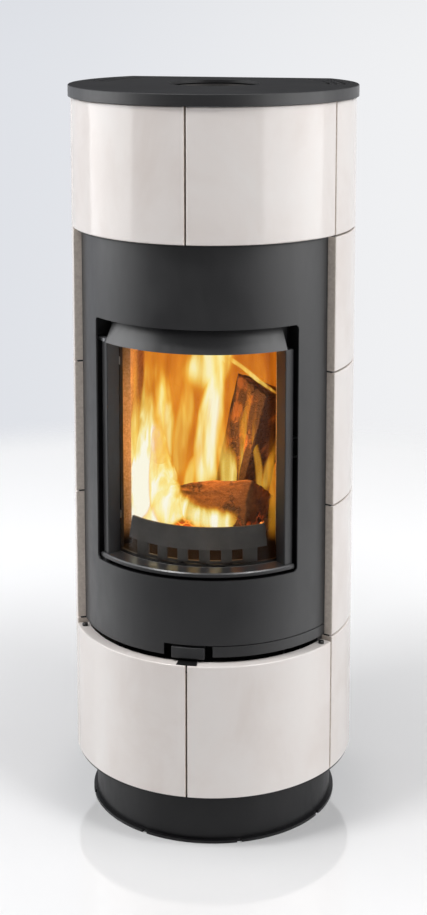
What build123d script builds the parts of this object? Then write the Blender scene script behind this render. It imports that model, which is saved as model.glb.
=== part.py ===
from build123d import *
from math import acos, cos, degrees, radians, sin, sqrt
import os

# A round wood stove with a flat back, clad in glazed tiles. Lengths are millimetres and angles
# are degrees. The origin is on the stove's axis at floor level, the front faces -Y and Z is up.
# Places round the stove are a radius and an angle from the front, counted towards the right (+X).

# ---- Plinth ----
BASE_INSET = 30.0
BASE_T = 5.0
BASE_REAR_INSET = 17.0
NOTCH_COUNT = 8
NOTCH_W = 9.0
NOTCH_DEPTH = 4.0
DRUM_INSET = 7.0
DRUM_WALL = 2.5
DRUM_H = 92.0
DRUM_REAR_INSET = 22.0
DRUM_FLANGE_W = 20.0
DECK_T = 3.0
DECK_EDGE = 2.0
DECK_SLOT_W = 9.0
DECK_SLOT_ARC_ANGLE = 30.0
DECK_SLOT_PITCH_ANGLE = 40.0
DECK_SLOTS = 6
DECK_SLOT_SETBACK = 1.0

# ---- Tiles ----
TILE_R = 256.0
TILE_T = 21.0
TILE_EDGE_R = 2.5
TILE_JOINT = 3.0
TILE_POCKET = 8.0
TILE_RIM = 20.0
COLUMN_ANGLE = 66.0
BOTTOM_ROW_H = 250.0
MIDDLE_ROW_H = 241.0
FRONT_TILE_STEP = 9.0

# ---- Top and back ----
HEIGHT = 1326.0
TOP_OVERHANG = 4.0
TOP_RIM_H = 20.0
TOP_RIM_W = 5.0
TOP_SHEET_T = 5.0
TOP_EDGE = 1.0
TOP_GAP = 1.0
FLUE_Y = 12.0
FLUE_PIPE_R = 75.0
FLUE_PIPE_WALL = 2.0
FLUE_COLLAR_WALL = 3.5
FLUE_COLLAR_BORE_L = 58.0
FLUE_COLLAR_SLEEVE_L = 24.0
FLUE_COLLAR_LIP = 3.0
FLUE_COLLAR_SINK = 7.0
FLUE_SLIP = 1.0
FLUE_HOLE_GAP = 2.5
VENT_INSETS = (51.0, 38.0, 23.0)
VENT_W = 6.5
VENT_FROM_ANGLE = 95.0
VENT_ARC_ANGLE = 37.0
REAR_PANEL_T = 2.0
REAR_PANEL_INSET = 6.0
REAR_PANEL_SIDE_INSET = 6.2
REAR_PANEL_TOP_GAP = 6.0
REAR_VENT_L = 80.0
REAR_VENT_W = 6.0
REAR_VENT_ROWS = 5
REAR_VENT_COLUMNS = 3
REAR_VENT_PITCH_X = 100.0
REAR_VENT_PITCH_Z = 14.0
REAR_VENT_MARGIN = 145.0
REAR_SCREW_R = 2.5
REAR_SCREW_HEAD_R = 5.0
REAR_SCREW_HEAD_H = 2.5
REAR_SCREW_L = 7.0
REAR_SCREW_SIDE = 16.0
REAR_SCREW_ROWS = 3
REAR_SCREW_MARGIN = 60.0

# ---- Rails and shelf ----
RAIL_T = 3.0
RAIL_HALF_ANGLE = 3.0
RAIL_FLANGE_W = 24.0
RAIL_TAB_REACH = 15.0
SHELF_T = 4.0
SHELF_INSET = 6.0
SHELF_W = 35.0
SHELF_SIDE_ANGLE = 0.5

# ---- Front panel ----
PANEL_RECESS = 15.0
PANEL_T = 3.0
PANEL_SIDE_GAP = 0.5
PANEL_FOOT_GAP = 11.0
PANEL_RETURN_ANGLE = 2.5
PANEL_RETURN_W = 10.0
OPENING_HALF_ANGLE = 48.0
OPENING_FROM_FOOT = 137.0
OPENING_H = 439.0
OPENING_CORNER_R = 8.0
STRIP_H = 19.0
STRIP_GAP = 1.6
STRIP_SIDE_GAP = 1.0
STRIP_FLANGE_UP = 16.0
STRIP_FLANGE_FROM_ANGLE = 18.0
STRIP_FLANGE_TO_ANGLE = 60.0
LEVER_NOTCH_HALF_ANGLE = 10.3

# ---- Small trim ----
CLIP_W = 36.0
CLIP_T = 1.5
CLIP_SETBACK = 2.0
CLIP_BACK_SETBACK = 1.0
CLIP_LIP = 15.0
CORNER_SCREW_ANGLE = 62.0
CORNER_SCREW_R = 2.5
CORNER_SCREW_HEAD_R = 5.0
CORNER_SCREW_HEAD_H = 5.0
CORNER_SCREW_L = 12.0
CORNER_SCREW_EDGE = 1.0

# ---- Firebox ----
SHELL_WALL = 4.0
SHELL_REAR_GAP = 34.0
SHELL_WINDOW_SIDE_ANGLE = 0.8
SHELL_WINDOW_STEP = 2.0
BAFFLE_LEDGE_T = 6.0
BAFFLE_LEDGE_REACH = 8.0
BAFFLE_LEDGE_ANGLES = (-100.0, -50.0, 50.0, 100.0)
BAFFLE_LEDGE_HALF_ANGLE = 3.0
HEARTH_T = 46.0
HEARTH_STEP = 1.0
LINING_GAP = 2.0
LINER_T = 24.0
LINER_OVER_WINDOW = 2.0
LINER_END_ANGLE = 6.6
LINER_TO_ANGLE = 121.0
LINER_BACK_SIDE = 50.0
LOWER_BAFFLE_T = 22.0
LOWER_BAFFLE_MOUTH = 90.0
BAFFLE_SPACE = 32.0
UPPER_BAFFLE_T = 6.0
UPPER_BAFFLE_MOUTH = 51.0
BAFFLE_SIDE_GAP = 4.0
SMOKE_SPACE = 39.0
LEG_INSET_X = 61.0
LEG_INSET_FRONT = 81.0
LEG_INSET_REAR = 30.0
LEG_W = 30.0
LEG_WALL = 3.0
LEG_FOOT = 44.0

# ---- Grate, ash and air ----
GRATE_X = 196.0
GRATE_Y = 156.0
GRATE_T = 12.0
GRATE_GAP = 1.0
GRATE_LEDGE = 10.0
GRATE_SLOTS = 11
GRATE_SLOT_W = 7.0
GRATE_SLOT_PITCH = 15.0
GRATE_FRAME = 13.0
ASH_PAN_WALL = 1.5
ASH_PAN_GAP = 4.0
ASH_PAN_H = 48.0
ASH_BOX_WALL = 2.0
ASH_BOX_GAP = 3.0
ASH_DEPTH = 55.0
ASH_AIR_SLOT_L = 120.0
ASH_AIR_SLOT_W = 4.0
ASH_AIR_SLOT_EDGE = 0.5
ASH_ARM_SLOT_SIDE = 6.0
AIR_BOX_H = 115.0
AIR_BOX_WALL = 2.0
PIVOT_R = 5.0
PIVOT_GAP = 0.05
PORT_R = 12.0
PORT_COUNT = 6
PORT_PLACE_R = 45.0
SHUTTER_R = 68.0
SHUTTER_T = 3.0
SLIDE_GAP = 0.3
LEVER_T = 3.0
LEVER_W = 20.0
LEVER_HUB_R = 14.0
LEVER_DROP_INSET = 14.0
LEVER_SPACE = 9.0
TAB_HALF_ANGLE = 7.0
TAB_PROUD = 1.0
TAB_DROP = 4.0
TAB_H = 20.0
TAB_EDGE_R = 1.5
SPIGOT_R = 50.0
SPIGOT_NECK_R = 47.5
SPIGOT_WALL = 2.0
SPIGOT_L = 30.0
SPIGOT_FLANGE_R = 58.0
SPIGOT_FLANGE_T = 2.0
SPIGOT_HOLE_GAP = 0.5

# ---- Throat, the frame that the door closes against ----
THROAT_DEPTH = 42.0
THROAT_SEAT_T = 3.5
THROAT_WALL = 3.0
THROAT_HALF_ANGLE = 54.0
THROAT_SIDE_ANGLE = 1.8
THROAT_CLEAR = 8.0
THROAT_WINDOW_HALF_ANGLE = 44.6
THROAT_LIP = 3.0

# ---- Door ----
DOOR_HALF_ANGLE = 47.3
DOOR_GAP_Z = 3.0
DOOR_DEPTH = 25.0
STILE_INNER_ANGLE = 43.0
STILE_EDGE = 1.2
SILL_PROUD = 5.0
SILL_H = 9.0
SILL_BEVEL = 2.0
TOP_RAIL_T = 6.0
TOP_RAIL_H = 22.0
HOOD_H = 41.0
HOOD_FLARE_H = 38.0
HOOD_PROUD = 1.0
HOOD_T = 2.5
HOOD_HALF_ANGLE = 43.8
GLASS_T = 4.0
GLASS_HALF_ANGLE = 45.0
GLASS_LAP = 4.0
GLASS_TOP_LAP = 15.0
GASKET_T = 0.8
GASKET_W_ANGLE = 1.6
SEAL_T = 5.8
SEAL_GAP = 0.7
SEAL_W = 3.2
SEAL_TOP_W = 5.0
SEAL_HALF_ANGLE = 47.2
SEAL_W_ANGLE = 1.2
RETAINER_T = 1.3
RETAINER_FROM_ANGLE = 44.0
RETAINER_FOOT_ANGLE = 45.15
RETAINER_TO_ANGLE = 45.9
RETAINER_H = 14.0
RETAINER_END_GAP = 64.0

# ---- Hinge and catch ----
HINGE_INSET = 5.0
HINGE_ANGLE = -45.8
HINGE_PIN_R = 3.0
HINGE_PIN_GAP = 0.05
HINGE_PIN_L = 20.0
HINGE_STAND_OFF = 0.3
HINGE_LUG_W = 11.0
HINGE_LUG_T = 6.0
STRIKER_INSET = 7.0
STRIKER_W = 8.0
STRIKER_TO_ANGLE = 49.6
STRIKER_RISE = 198.0
STRIKER_H = 30.0
CATCH_LEAF = 3.0
CATCH_GAP = 0.5
CATCH_DEPTH = 8.0
CATCH_FROM_ANGLE = 48.2

# ---- Log guard ----
GUARD_T = 4.0
GUARD_HALF_ANGLE = 34.5
GUARD_WALL_H = 40.0
GUARD_HOLE = 20.0
GUARD_HOLE_Z = 7.0
GUARD_HOLES = 5
GUARD_HOLE_ANGLE = 11.7
GUARD_BAND_HALF_ANGLE = 39.5
GUARD_BAND_Z = 28.0
GUARD_BAND_H = 38.0
GUARD_BAND_LEAN = 7.0
GUARD_BAND_OUT = 4.0

SEAT_GAP = 0.3
CUT_OVER = 1.0

def polar(radius, angle):
    """Point at a radius and an angle from the front."""
    return (radius * sin(radians(angle)), -radius * cos(radians(angle)))


def arc_angle(length, radius):
    """Angle that a length covers on a circle."""
    return degrees(length / radius)


# ---- Outer heights and radii worked out from the sizes above ----
BASE_R = TILE_R - BASE_INSET
DRUM_R = BASE_R - DRUM_INSET
DRUM_TOP = BASE_T + DRUM_H
TILE_BASE_Z = DRUM_TOP + DECK_T
SEAMS = [TILE_BASE_Z + BOTTOM_ROW_H + MIDDLE_ROW_H * row for row in range(4)]
FRONT_TILE_TOP = TILE_BASE_Z + BOTTOM_ROW_H - FRONT_TILE_STEP
RIM_UNDERSIDE = HEIGHT - TOP_RIM_H
TILE_TOP_Z = RIM_UNDERSIDE - TOP_GAP
SHEET_UNDERSIDE = HEIGHT - TOP_SHEET_T
TOP_R = TILE_R + TOP_OVERHANG
TILE_BACK_R = TILE_R - TILE_T
DECK_R = TILE_R - DECK_EDGE
REAR_ANGLE = 2 * COLUMN_ANGLE
TILE_END_X, TILE_END_Y = polar(TILE_R, REAR_ANGLE)
REAR_PANEL_OUT_Y = TILE_END_Y - SEAT_GAP
REAR_PANEL_IN_Y = REAR_PANEL_OUT_Y - REAR_PANEL_T
TOP_REAR_Y = REAR_PANEL_OUT_Y + REAR_PANEL_INSET
BASE_REAR_Y = TOP_REAR_Y - BASE_REAR_INSET
DRUM_REAR_Y = TOP_REAR_Y - DRUM_REAR_INSET
REAR_PANEL_HALF_W = TILE_END_X - REAR_PANEL_SIDE_INSET
REAR_PANEL_TOP = RIM_UNDERSIDE - REAR_PANEL_TOP_GAP
REAR_PANEL_MID_Z = (TILE_BASE_Z + REAR_PANEL_TOP) / 2
REAR_SCREW_X = REAR_PANEL_HALF_W - REAR_SCREW_SIDE
REAR_SCREW_SPAN = REAR_PANEL_TOP - TILE_BASE_Z - 2 * REAR_SCREW_MARGIN
REAR_SCREW_PITCH = REAR_SCREW_SPAN / (REAR_SCREW_ROWS - 1)
RAIL_FACE_R = TILE_BACK_R - SEAT_GAP
RAIL_BACK_R = RAIL_FACE_R - RAIL_T
RAIL_END_ANGLE = 180 - degrees(acos((REAR_PANEL_IN_Y - SEAT_GAP) / RAIL_FACE_R))

# ---- Panel, opening and door ----
PANEL_R = TILE_R - PANEL_RECESS
PANEL_BACK_R = PANEL_R - PANEL_T
PANEL_FOOT = FRONT_TILE_TOP + PANEL_FOOT_GAP
SHELF_TOP = SEAMS[-1] + TILE_JOINT / 2
PANEL_TOP = SHELF_TOP - SHELF_T
OPENING_Z = PANEL_FOOT + OPENING_FROM_FOOT
OPENING_TOP = OPENING_Z + OPENING_H
STRIP_TOP = PANEL_FOOT + STRIP_H
SHELL_R = PANEL_BACK_R - THROAT_DEPTH
THROAT_SEAT_R = SHELL_R + THROAT_SEAT_T
THROAT_Z = OPENING_Z - THROAT_CLEAR
THROAT_TOP = OPENING_TOP + THROAT_CLEAR
THROAT_INNER_ANGLE = THROAT_HALF_ANGLE - THROAT_SIDE_ANGLE
DOOR_BACK_R = THROAT_SEAT_R + SEAL_T + SEAL_GAP
DOOR_FACE_R = DOOR_BACK_R + DOOR_DEPTH
DOOR_Z = OPENING_Z + DOOR_GAP_Z
DOOR_TOP = OPENING_TOP - DOOR_GAP_Z
SILL_FACE_R = DOOR_FACE_R + SILL_PROUD
SILL_TOP = DOOR_Z + SILL_H
STILE_TOP = DOOR_TOP - HOOD_H
RAIL_FRONT_R = DOOR_BACK_R + TOP_RAIL_T
HOOD_FACE_R = DOOR_FACE_R + HOOD_PROUD
WINDOW_TOP = DOOR_TOP - TOP_RAIL_H
GASKET_IN_R = DOOR_BACK_R - GASKET_T
GLASS_IN_R = GASKET_IN_R - GLASS_T
GLASS_Z = DOOR_Z + GLASS_LAP
GLASS_TOP = WINDOW_TOP + GLASS_TOP_LAP
HINGE_R = DOOR_FACE_R - HINGE_INSET
STRIKER_R_FROM = DOOR_BACK_R + STRIKER_INSET
STRIKER_R_TO = STRIKER_R_FROM + STRIKER_W
STRIKER_Z = DOOR_Z + STRIKER_RISE

# ---- Firebox, baffles, ash and air ----
HEARTH_TOP = SILL_TOP - HEARTH_STEP
SHELL_FLOOR = HEARTH_TOP - HEARTH_T
SHELL_Z = SHELL_FLOOR - SHELL_WALL
SHELL_IN_R = SHELL_R - SHELL_WALL
SHELL_REAR_Y = REAR_PANEL_IN_Y - SHELL_REAR_GAP
SHELL_IN_Y = SHELL_REAR_Y - SHELL_WALL
LINING_R = SHELL_IN_R - LINING_GAP
LINING_REAR_Y = SHELL_IN_Y - LINING_GAP
LINER_TOP = WINDOW_TOP + LINER_OVER_WINDOW
SHELL_WINDOW_HALF_ANGLE = THROAT_WINDOW_HALF_ANGLE + SHELL_WINDOW_SIDE_ANGLE
LINER_FROM_ANGLE = SHELL_WINDOW_HALF_ANGLE + LINER_END_ANGLE
BAFFLE_LEDGE_Z = LINER_TOP + LOWER_BAFFLE_T + BAFFLE_SPACE
UPPER_BAFFLE_Z = BAFFLE_LEDGE_Z + BAFFLE_LEDGE_T
SHELL_TOP = UPPER_BAFFLE_Z + UPPER_BAFFLE_T + SMOKE_SPACE
LEG_X = SHELL_R - LEG_INSET_X
LEG_Y_FRONT = LEG_INSET_FRONT - SHELL_R
LEG_Y_REAR = SHELL_REAR_Y - LEG_INSET_REAR
GRATE_Z = HEARTH_TOP - GRATE_T
WELL_X = GRATE_X - 2 * GRATE_LEDGE + 2 * GRATE_GAP
WELL_Y = GRATE_Y - 2 * GRATE_LEDGE + 2 * GRATE_GAP
ASH_IN_X = WELL_X + 2 * ASH_BOX_GAP
ASH_IN_Y = WELL_Y + 2 * ASH_BOX_GAP
AIR_BOX_TOP = SHELL_Z - ASH_DEPTH
AIR_BOX_Z = AIR_BOX_TOP - AIR_BOX_H
AIR_BOX_HALF_X = LEG_X - LEG_W / 2
AIR_BOX_FRONT_Y = LEG_Y_FRONT + LEG_W / 2
AIR_BOX_REAR_Y = LEG_Y_REAR + LEG_W / 2
SPIGOT_Z = AIR_BOX_Z + AIR_BOX_H / 2
SHUTTER_Z = AIR_BOX_TOP + SLIDE_GAP
LEVER_Z = SHUTTER_Z + SHUTTER_T
LEVER_DROP_R = PANEL_BACK_R - LEVER_DROP_INSET
ASH_FLOOR_Z = AIR_BOX_TOP + LEVER_SPACE
ASH_PAN_Z = ASH_FLOOR_Z + ASH_BOX_WALL
TAB_Z = PANEL_FOOT - TAB_DROP


def sector_edges(r_in, r_out, a_from, a_to):
    """Closed outline between two radii and two angles."""
    middle = (a_from + a_to) / 2
    with BuildLine() as outline:
        ThreePointArc(polar(r_out, a_from), polar(r_out, middle), polar(r_out, a_to))
        Line(polar(r_out, a_to), polar(r_in, a_to))
        ThreePointArc(polar(r_in, a_to), polar(r_in, middle), polar(r_in, a_from))
        Line(polar(r_in, a_from), polar(r_out, a_from))
    return outline.edges()


def flat_back_edges(radius, rear_y):
    """Closed outline of a circle whose back is cut off flat."""
    half = sqrt(radius**2 - rear_y**2)
    with BuildLine() as outline:
        ThreePointArc((half, rear_y), (0, -radius), (-half, rear_y))
        Line((-half, rear_y), (half, rear_y))
    return outline.edges()


def curved_block(r_in, r_out, a_from, a_to, z_from, z_to):
    """Upright slab that follows the stove's round front."""
    with BuildPart() as block:
        with BuildSketch(Plane.XY.offset(z_from)):
            make_face(sector_edges(r_in, r_out, a_from, a_to))
        extrude(amount=z_to - z_from)
    return block.part


def flat_back_block(radius, rear_y, z_from, z_to):
    """Round block with a flat back."""
    with BuildPart() as block:
        with BuildSketch(Plane.XY.offset(z_from)):
            make_face(flat_back_edges(radius, rear_y))
        extrude(amount=z_to - z_from)
    return block.part


def turned_block(profile, a_from, a_to):
    """Solid that sweeps a profile of radius and height round the axis, between two angles."""
    direction = polar(1, a_from)
    upright = Plane(
        origin=(0, 0, 0), x_dir=(direction[0], direction[1], 0), z_dir=(direction[1], -direction[0], 0)
    )
    with BuildPart() as block:
        with BuildSketch(upright):
            with BuildLine():
                Polyline(*profile, close=True)
            make_face()
        revolve(axis=Axis.Z, revolution_arc=a_to - a_from)
    return block.part


def box_block(x, y, z):
    """Box given by its limits along each axis."""
    with BuildPart() as block:
        with BuildSketch(Plane.XY.offset(z[0])):
            with Locations(((x[0] + x[1]) / 2, (y[0] + y[1]) / 2)):
                Rectangle(x[1] - x[0], y[1] - y[0])
        extrude(amount=z[1] - z[0])
    return block.part


def on_front(edge, radius):
    """Whether the middle of an edge lies at a radius from the axis."""
    middle = edge @ 0.5
    return abs(sqrt(middle.X**2 + middle.Y**2) - radius) < SEAT_GAP


def keep(piece, name):
    """Label a finished piece and write its file."""
    piece.label = name
    export_step(piece, f"parts/{name}.step")


os.makedirs("parts", exist_ok=True)

# ---- Plinth ----
with BuildPart() as base_plate:
    with BuildSketch():
        make_face(flat_back_edges(BASE_R, BASE_REAR_Y))
        with PolarLocations(BASE_R, NOTCH_COUNT, start_angle=180 / NOTCH_COUNT):
            Rectangle(2 * NOTCH_DEPTH, NOTCH_W, mode=Mode.SUBTRACT)
    extrude(amount=BASE_T)
keep(base_plate.part, "base_plate")

with BuildPart() as plinth_drum:
    with BuildSketch(Plane.XY.offset(BASE_T)):
        make_face(flat_back_edges(DRUM_R, DRUM_REAR_Y))
        make_face(flat_back_edges(DRUM_R - DRUM_WALL, DRUM_REAR_Y - DRUM_WALL), mode=Mode.SUBTRACT)
    extrude(amount=DRUM_H)
    with BuildSketch(Plane.XY.offset(DRUM_TOP - DRUM_WALL)):
        make_face(flat_back_edges(DRUM_R, DRUM_REAR_Y))
        make_face(flat_back_edges(DRUM_R - DRUM_FLANGE_W, DRUM_REAR_Y - DRUM_FLANGE_W), mode=Mode.SUBTRACT)
    extrude(amount=DRUM_WALL)
keep(plinth_drum.part, "plinth_drum")

with BuildPart() as deck_plate:
    with BuildSketch(Plane.XY.offset(DRUM_TOP)):
        make_face(flat_back_edges(DECK_R, REAR_PANEL_OUT_Y))
        slot_r = RAIL_BACK_R - DECK_SLOT_SETBACK
        for slot in range(DECK_SLOTS):
            slot_from = (slot - (DECK_SLOTS - 1) / 2) * DECK_SLOT_PITCH_ANGLE - DECK_SLOT_ARC_ANGLE / 2
            slot_to = slot_from + DECK_SLOT_ARC_ANGLE
            slot_edges = sector_edges(slot_r - DECK_SLOT_W, slot_r, slot_from, slot_to)
            make_face(slot_edges, mode=Mode.SUBTRACT)
    extrude(amount=DECK_T)
keep(deck_plate.part, "deck_plate")

with BuildPart() as firebox_legs:
    for side in (-1, 1):
        for leg_y in (LEG_Y_FRONT, LEG_Y_REAR):
            with BuildSketch(Plane.XY.offset(TILE_BASE_Z)):
                with Locations((side * LEG_X, leg_y)):
                    Rectangle(LEG_FOOT, LEG_FOOT)
            extrude(amount=LEG_WALL)
            with BuildSketch(Plane.XY.offset(TILE_BASE_Z)):
                with Locations((side * LEG_X, leg_y)):
                    Rectangle(LEG_W, LEG_W)
                with Locations((side * (LEG_X - LEG_WALL), leg_y - LEG_WALL)):
                    Rectangle(LEG_W, LEG_W, mode=Mode.SUBTRACT)
            extrude(amount=SHELL_Z - TILE_BASE_Z)
            with BuildSketch(Plane.XY.offset(SHELL_Z - LEG_WALL)):
                with Locations((side * LEG_X, leg_y)):
                    Rectangle(LEG_FOOT, LEG_FOOT)
            extrude(amount=LEG_WALL)
keep(firebox_legs.part, "firebox_legs")

# ---- Tiles ----
HALF_JOINT_ANGLE = arc_angle(TILE_JOINT / 2, TILE_R)


def tile_solid(a_from, a_to, z_from, z_to):
    """Curved tile with rounded face edges and a pocket in its back."""
    a_from = a_from + HALF_JOINT_ANGLE
    a_to = a_to - HALF_JOINT_ANGLE
    rim_angle = arc_angle(TILE_RIM, TILE_BACK_R)
    with BuildPart() as tile:
        add(curved_block(TILE_BACK_R, TILE_R, a_from, a_to, z_from, z_to))
        face = tile.faces().filter_by(GeomType.CYLINDER).sort_by(SortBy.AREA)[-1]
        fillet(face.edges(), radius=TILE_EDGE_R)
        pocket = curved_block(
            TILE_BACK_R - CUT_OVER,
            TILE_BACK_R + TILE_POCKET,
            a_from + rim_angle,
            a_to - rim_angle,
            z_from + TILE_RIM,
            z_to - TILE_RIM,
        )
        add(pocket, mode=Mode.SUBTRACT)
    return tile.part


for side, word in ((-1, "left"), (1, "right")):
    front = sorted((0, side * COLUMN_ANGLE))
    flank = sorted((side * COLUMN_ANGLE, side * REAR_ANGLE))
    with BuildPart() as bottom_tile:
        add(tile_solid(front[0], front[1], TILE_BASE_Z, FRONT_TILE_TOP))
        with BuildSketch(Plane.XY.offset(FRONT_TILE_TOP)):
            with Locations(polar(TILE_BACK_R + TILE_T / 2, side * CORNER_SCREW_ANGLE)):
                Circle(CORNER_SCREW_R)
        extrude(amount=-CORNER_SCREW_L, mode=Mode.SUBTRACT)
    keep(bottom_tile.part, f"tile_bottom_front_{word}")
    keep(tile_solid(front[0], front[1], SHELF_TOP, TILE_TOP_Z), f"tile_top_front_{word}")
    starts = [TILE_BASE_Z] + [seam + TILE_JOINT / 2 for seam in SEAMS]
    ends = [seam - TILE_JOINT / 2 for seam in SEAMS] + [TILE_TOP_Z]
    for row, (z_from, z_to) in enumerate(zip(starts, ends)):
        keep(tile_solid(flank[0], flank[1], z_from, z_to), f"tile_side_{word}_{row + 1}")

# ---- Rails that stand behind the tile joints, and the shelf above the panel ----
TAB_OUT_R = RAIL_FACE_R + RAIL_TAB_REACH
for side, word in ((-1, "left"), (1, "right")):
    front_angle = side * COLUMN_ANGLE
    rear_angle = side * REAR_ANGLE
    with BuildPart() as front_rail:
        span = sorted((front_angle - RAIL_HALF_ANGLE, front_angle + RAIL_HALF_ANGLE))
        add(curved_block(RAIL_BACK_R, RAIL_FACE_R, span[0], span[1], TILE_BASE_Z, SHEET_UNDERSIDE))
        reach = sorted((front_angle + side * HALF_JOINT_ANGLE, front_angle + side * RAIL_HALF_ANGLE))
        for seam in SEAMS:
            z_from = seam - TILE_JOINT / 2
            add(curved_block(RAIL_BACK_R, TAB_OUT_R, reach[0], reach[1], z_from, z_from + TILE_JOINT))
    keep(front_rail.part, f"tile_rail_front_{word}")
    with BuildPart() as rear_rail:
        span = sorted((rear_angle - side * RAIL_HALF_ANGLE, side * RAIL_END_ANGLE))
        add(curved_block(RAIL_BACK_R, RAIL_FACE_R, span[0], span[1], TILE_BASE_Z, SHEET_UNDERSIDE))
        reach = sorted((rear_angle - side * RAIL_HALF_ANGLE, rear_angle - side * HALF_JOINT_ANGLE))
        for seam in SEAMS:
            z_from = seam - TILE_JOINT / 2
            add(curved_block(RAIL_BACK_R, TAB_OUT_R, reach[0], reach[1], z_from, z_from + TILE_JOINT))
        flange_mid = side * REAR_SCREW_X
        flange_x = (flange_mid - RAIL_FLANGE_W / 2, flange_mid + RAIL_FLANGE_W / 2)
        flange_y = (REAR_PANEL_IN_Y - RAIL_T, REAR_PANEL_IN_Y)
        add(box_block(flange_x, flange_y, (TILE_BASE_Z, REAR_PANEL_TOP)))
        with BuildSketch(Plane.XZ.offset(-REAR_PANEL_IN_Y)):
            with Locations((side * REAR_SCREW_X, REAR_PANEL_MID_Z)):
                with GridLocations(0, REAR_SCREW_PITCH, 1, REAR_SCREW_ROWS):
                    Circle(REAR_SCREW_R)
        extrude(amount=REAR_SCREW_L, mode=Mode.SUBTRACT)
    keep(rear_rail.part, f"tile_rail_rear_{word}")

SHELF_HALF_ANGLE = COLUMN_ANGLE - RAIL_HALF_ANGLE - SHELF_SIDE_ANGLE
SHELF_OUT_R = TILE_R - SHELF_INSET
with BuildPart() as shelf_ring:
    add(
        curved_block(
            SHELF_OUT_R - SHELF_W, SHELF_OUT_R, -SHELF_HALF_ANGLE, SHELF_HALF_ANGLE, PANEL_TOP, SHELF_TOP
        )
    )
keep(shelf_ring.part, "shelf_ring")

# ---- Front panel, strip and trim ----
PANEL_HALF_ANGLE = COLUMN_ANGLE - arc_angle(PANEL_SIDE_GAP, PANEL_R)
with BuildPart() as opening:
    add(
        curved_block(
            PANEL_BACK_R - CUT_OVER,
            PANEL_R + CUT_OVER,
            -OPENING_HALF_ANGLE,
            OPENING_HALF_ANGLE,
            OPENING_Z,
            OPENING_TOP,
        )
    )
    corners = opening.edges().filter_by(GeomType.LINE).filter_by(Axis.Z, reverse=True)
    fillet(corners, radius=OPENING_CORNER_R)

with BuildPart() as front_panel:
    add(curved_block(PANEL_BACK_R, PANEL_R, -PANEL_HALF_ANGLE, PANEL_HALF_ANGLE, PANEL_FOOT, PANEL_TOP))
    for side in (-1, 1):
        span = sorted((side * (PANEL_HALF_ANGLE - PANEL_RETURN_ANGLE), side * PANEL_HALF_ANGLE))
        add(curved_block(RAIL_FACE_R, PANEL_BACK_R, span[0], span[1], PANEL_FOOT, PANEL_TOP))
    top_return = curved_block(
        PANEL_BACK_R - PANEL_RETURN_W,
        PANEL_BACK_R,
        -SHELF_HALF_ANGLE,
        SHELF_HALF_ANGLE,
        PANEL_TOP - PANEL_T,
        PANEL_TOP,
    )
    add(top_return)
    add(opening.part, mode=Mode.SUBTRACT)
    below_strip_line = curved_block(
        RAIL_FACE_R - CUT_OVER,
        PANEL_R + CUT_OVER,
        -LEVER_NOTCH_HALF_ANGLE,
        PANEL_HALF_ANGLE + CUT_OVER,
        PANEL_FOOT - CUT_OVER,
        STRIP_TOP + STRIP_GAP,
    )
    add(below_strip_line, mode=Mode.SUBTRACT)
keep(front_panel.part, "front_panel")

with BuildPart() as lower_strip:
    strip_from = LEVER_NOTCH_HALF_ANGLE
    add(curved_block(PANEL_BACK_R, PANEL_R, strip_from, PANEL_HALF_ANGLE, PANEL_FOOT, STRIP_TOP))
    add(
        curved_block(
            PANEL_BACK_R - PANEL_T,
            PANEL_BACK_R,
            STRIP_FLANGE_FROM_ANGLE,
            STRIP_FLANGE_TO_ANGLE,
            PANEL_FOOT + STRIP_SIDE_GAP,
            STRIP_TOP + STRIP_FLANGE_UP,
        )
    )
keep(lower_strip.part, "lower_strip")

with BuildPart() as seam_clip:
    clip_out_r = TILE_R - CLIP_SETBACK
    half = arc_angle(CLIP_W / 2, TILE_R)
    clip_in_r = TILE_BACK_R + CLIP_BACK_SETBACK
    add(curved_block(clip_in_r, clip_out_r, -half, half, FRONT_TILE_TOP, FRONT_TILE_TOP + CLIP_T))
    tongue_x = (TILE_JOINT - 2 * SEAT_GAP) / 2
    tongue_y = (-clip_out_r + TILE_EDGE_R, -clip_in_r - TILE_EDGE_R)
    tongue_z = (FRONT_TILE_TOP - CLIP_LIP, FRONT_TILE_TOP + CLIP_T)
    add(box_block((-tongue_x, tongue_x), tongue_y, tongue_z))
keep(seam_clip.part, "seam_clip")

with BuildPart() as corner_screws:
    for side in (-1, 1):
        place = polar(TILE_BACK_R + TILE_T / 2, side * CORNER_SCREW_ANGLE)
        with BuildSketch(Plane.XY.offset(FRONT_TILE_TOP - CORNER_SCREW_L)):
            with Locations(place):
                Circle(CORNER_SCREW_R)
        extrude(amount=CORNER_SCREW_L)
        with BuildSketch(Plane.XY.offset(FRONT_TILE_TOP)):
            with Locations(place):
                Circle(CORNER_SCREW_HEAD_R)
        extrude(amount=CORNER_SCREW_HEAD_H)
    chamfer(corner_screws.faces().group_by(Axis.Z)[-1].edges(), length=CORNER_SCREW_EDGE)
keep(corner_screws.part, "corner_screws")

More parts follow.
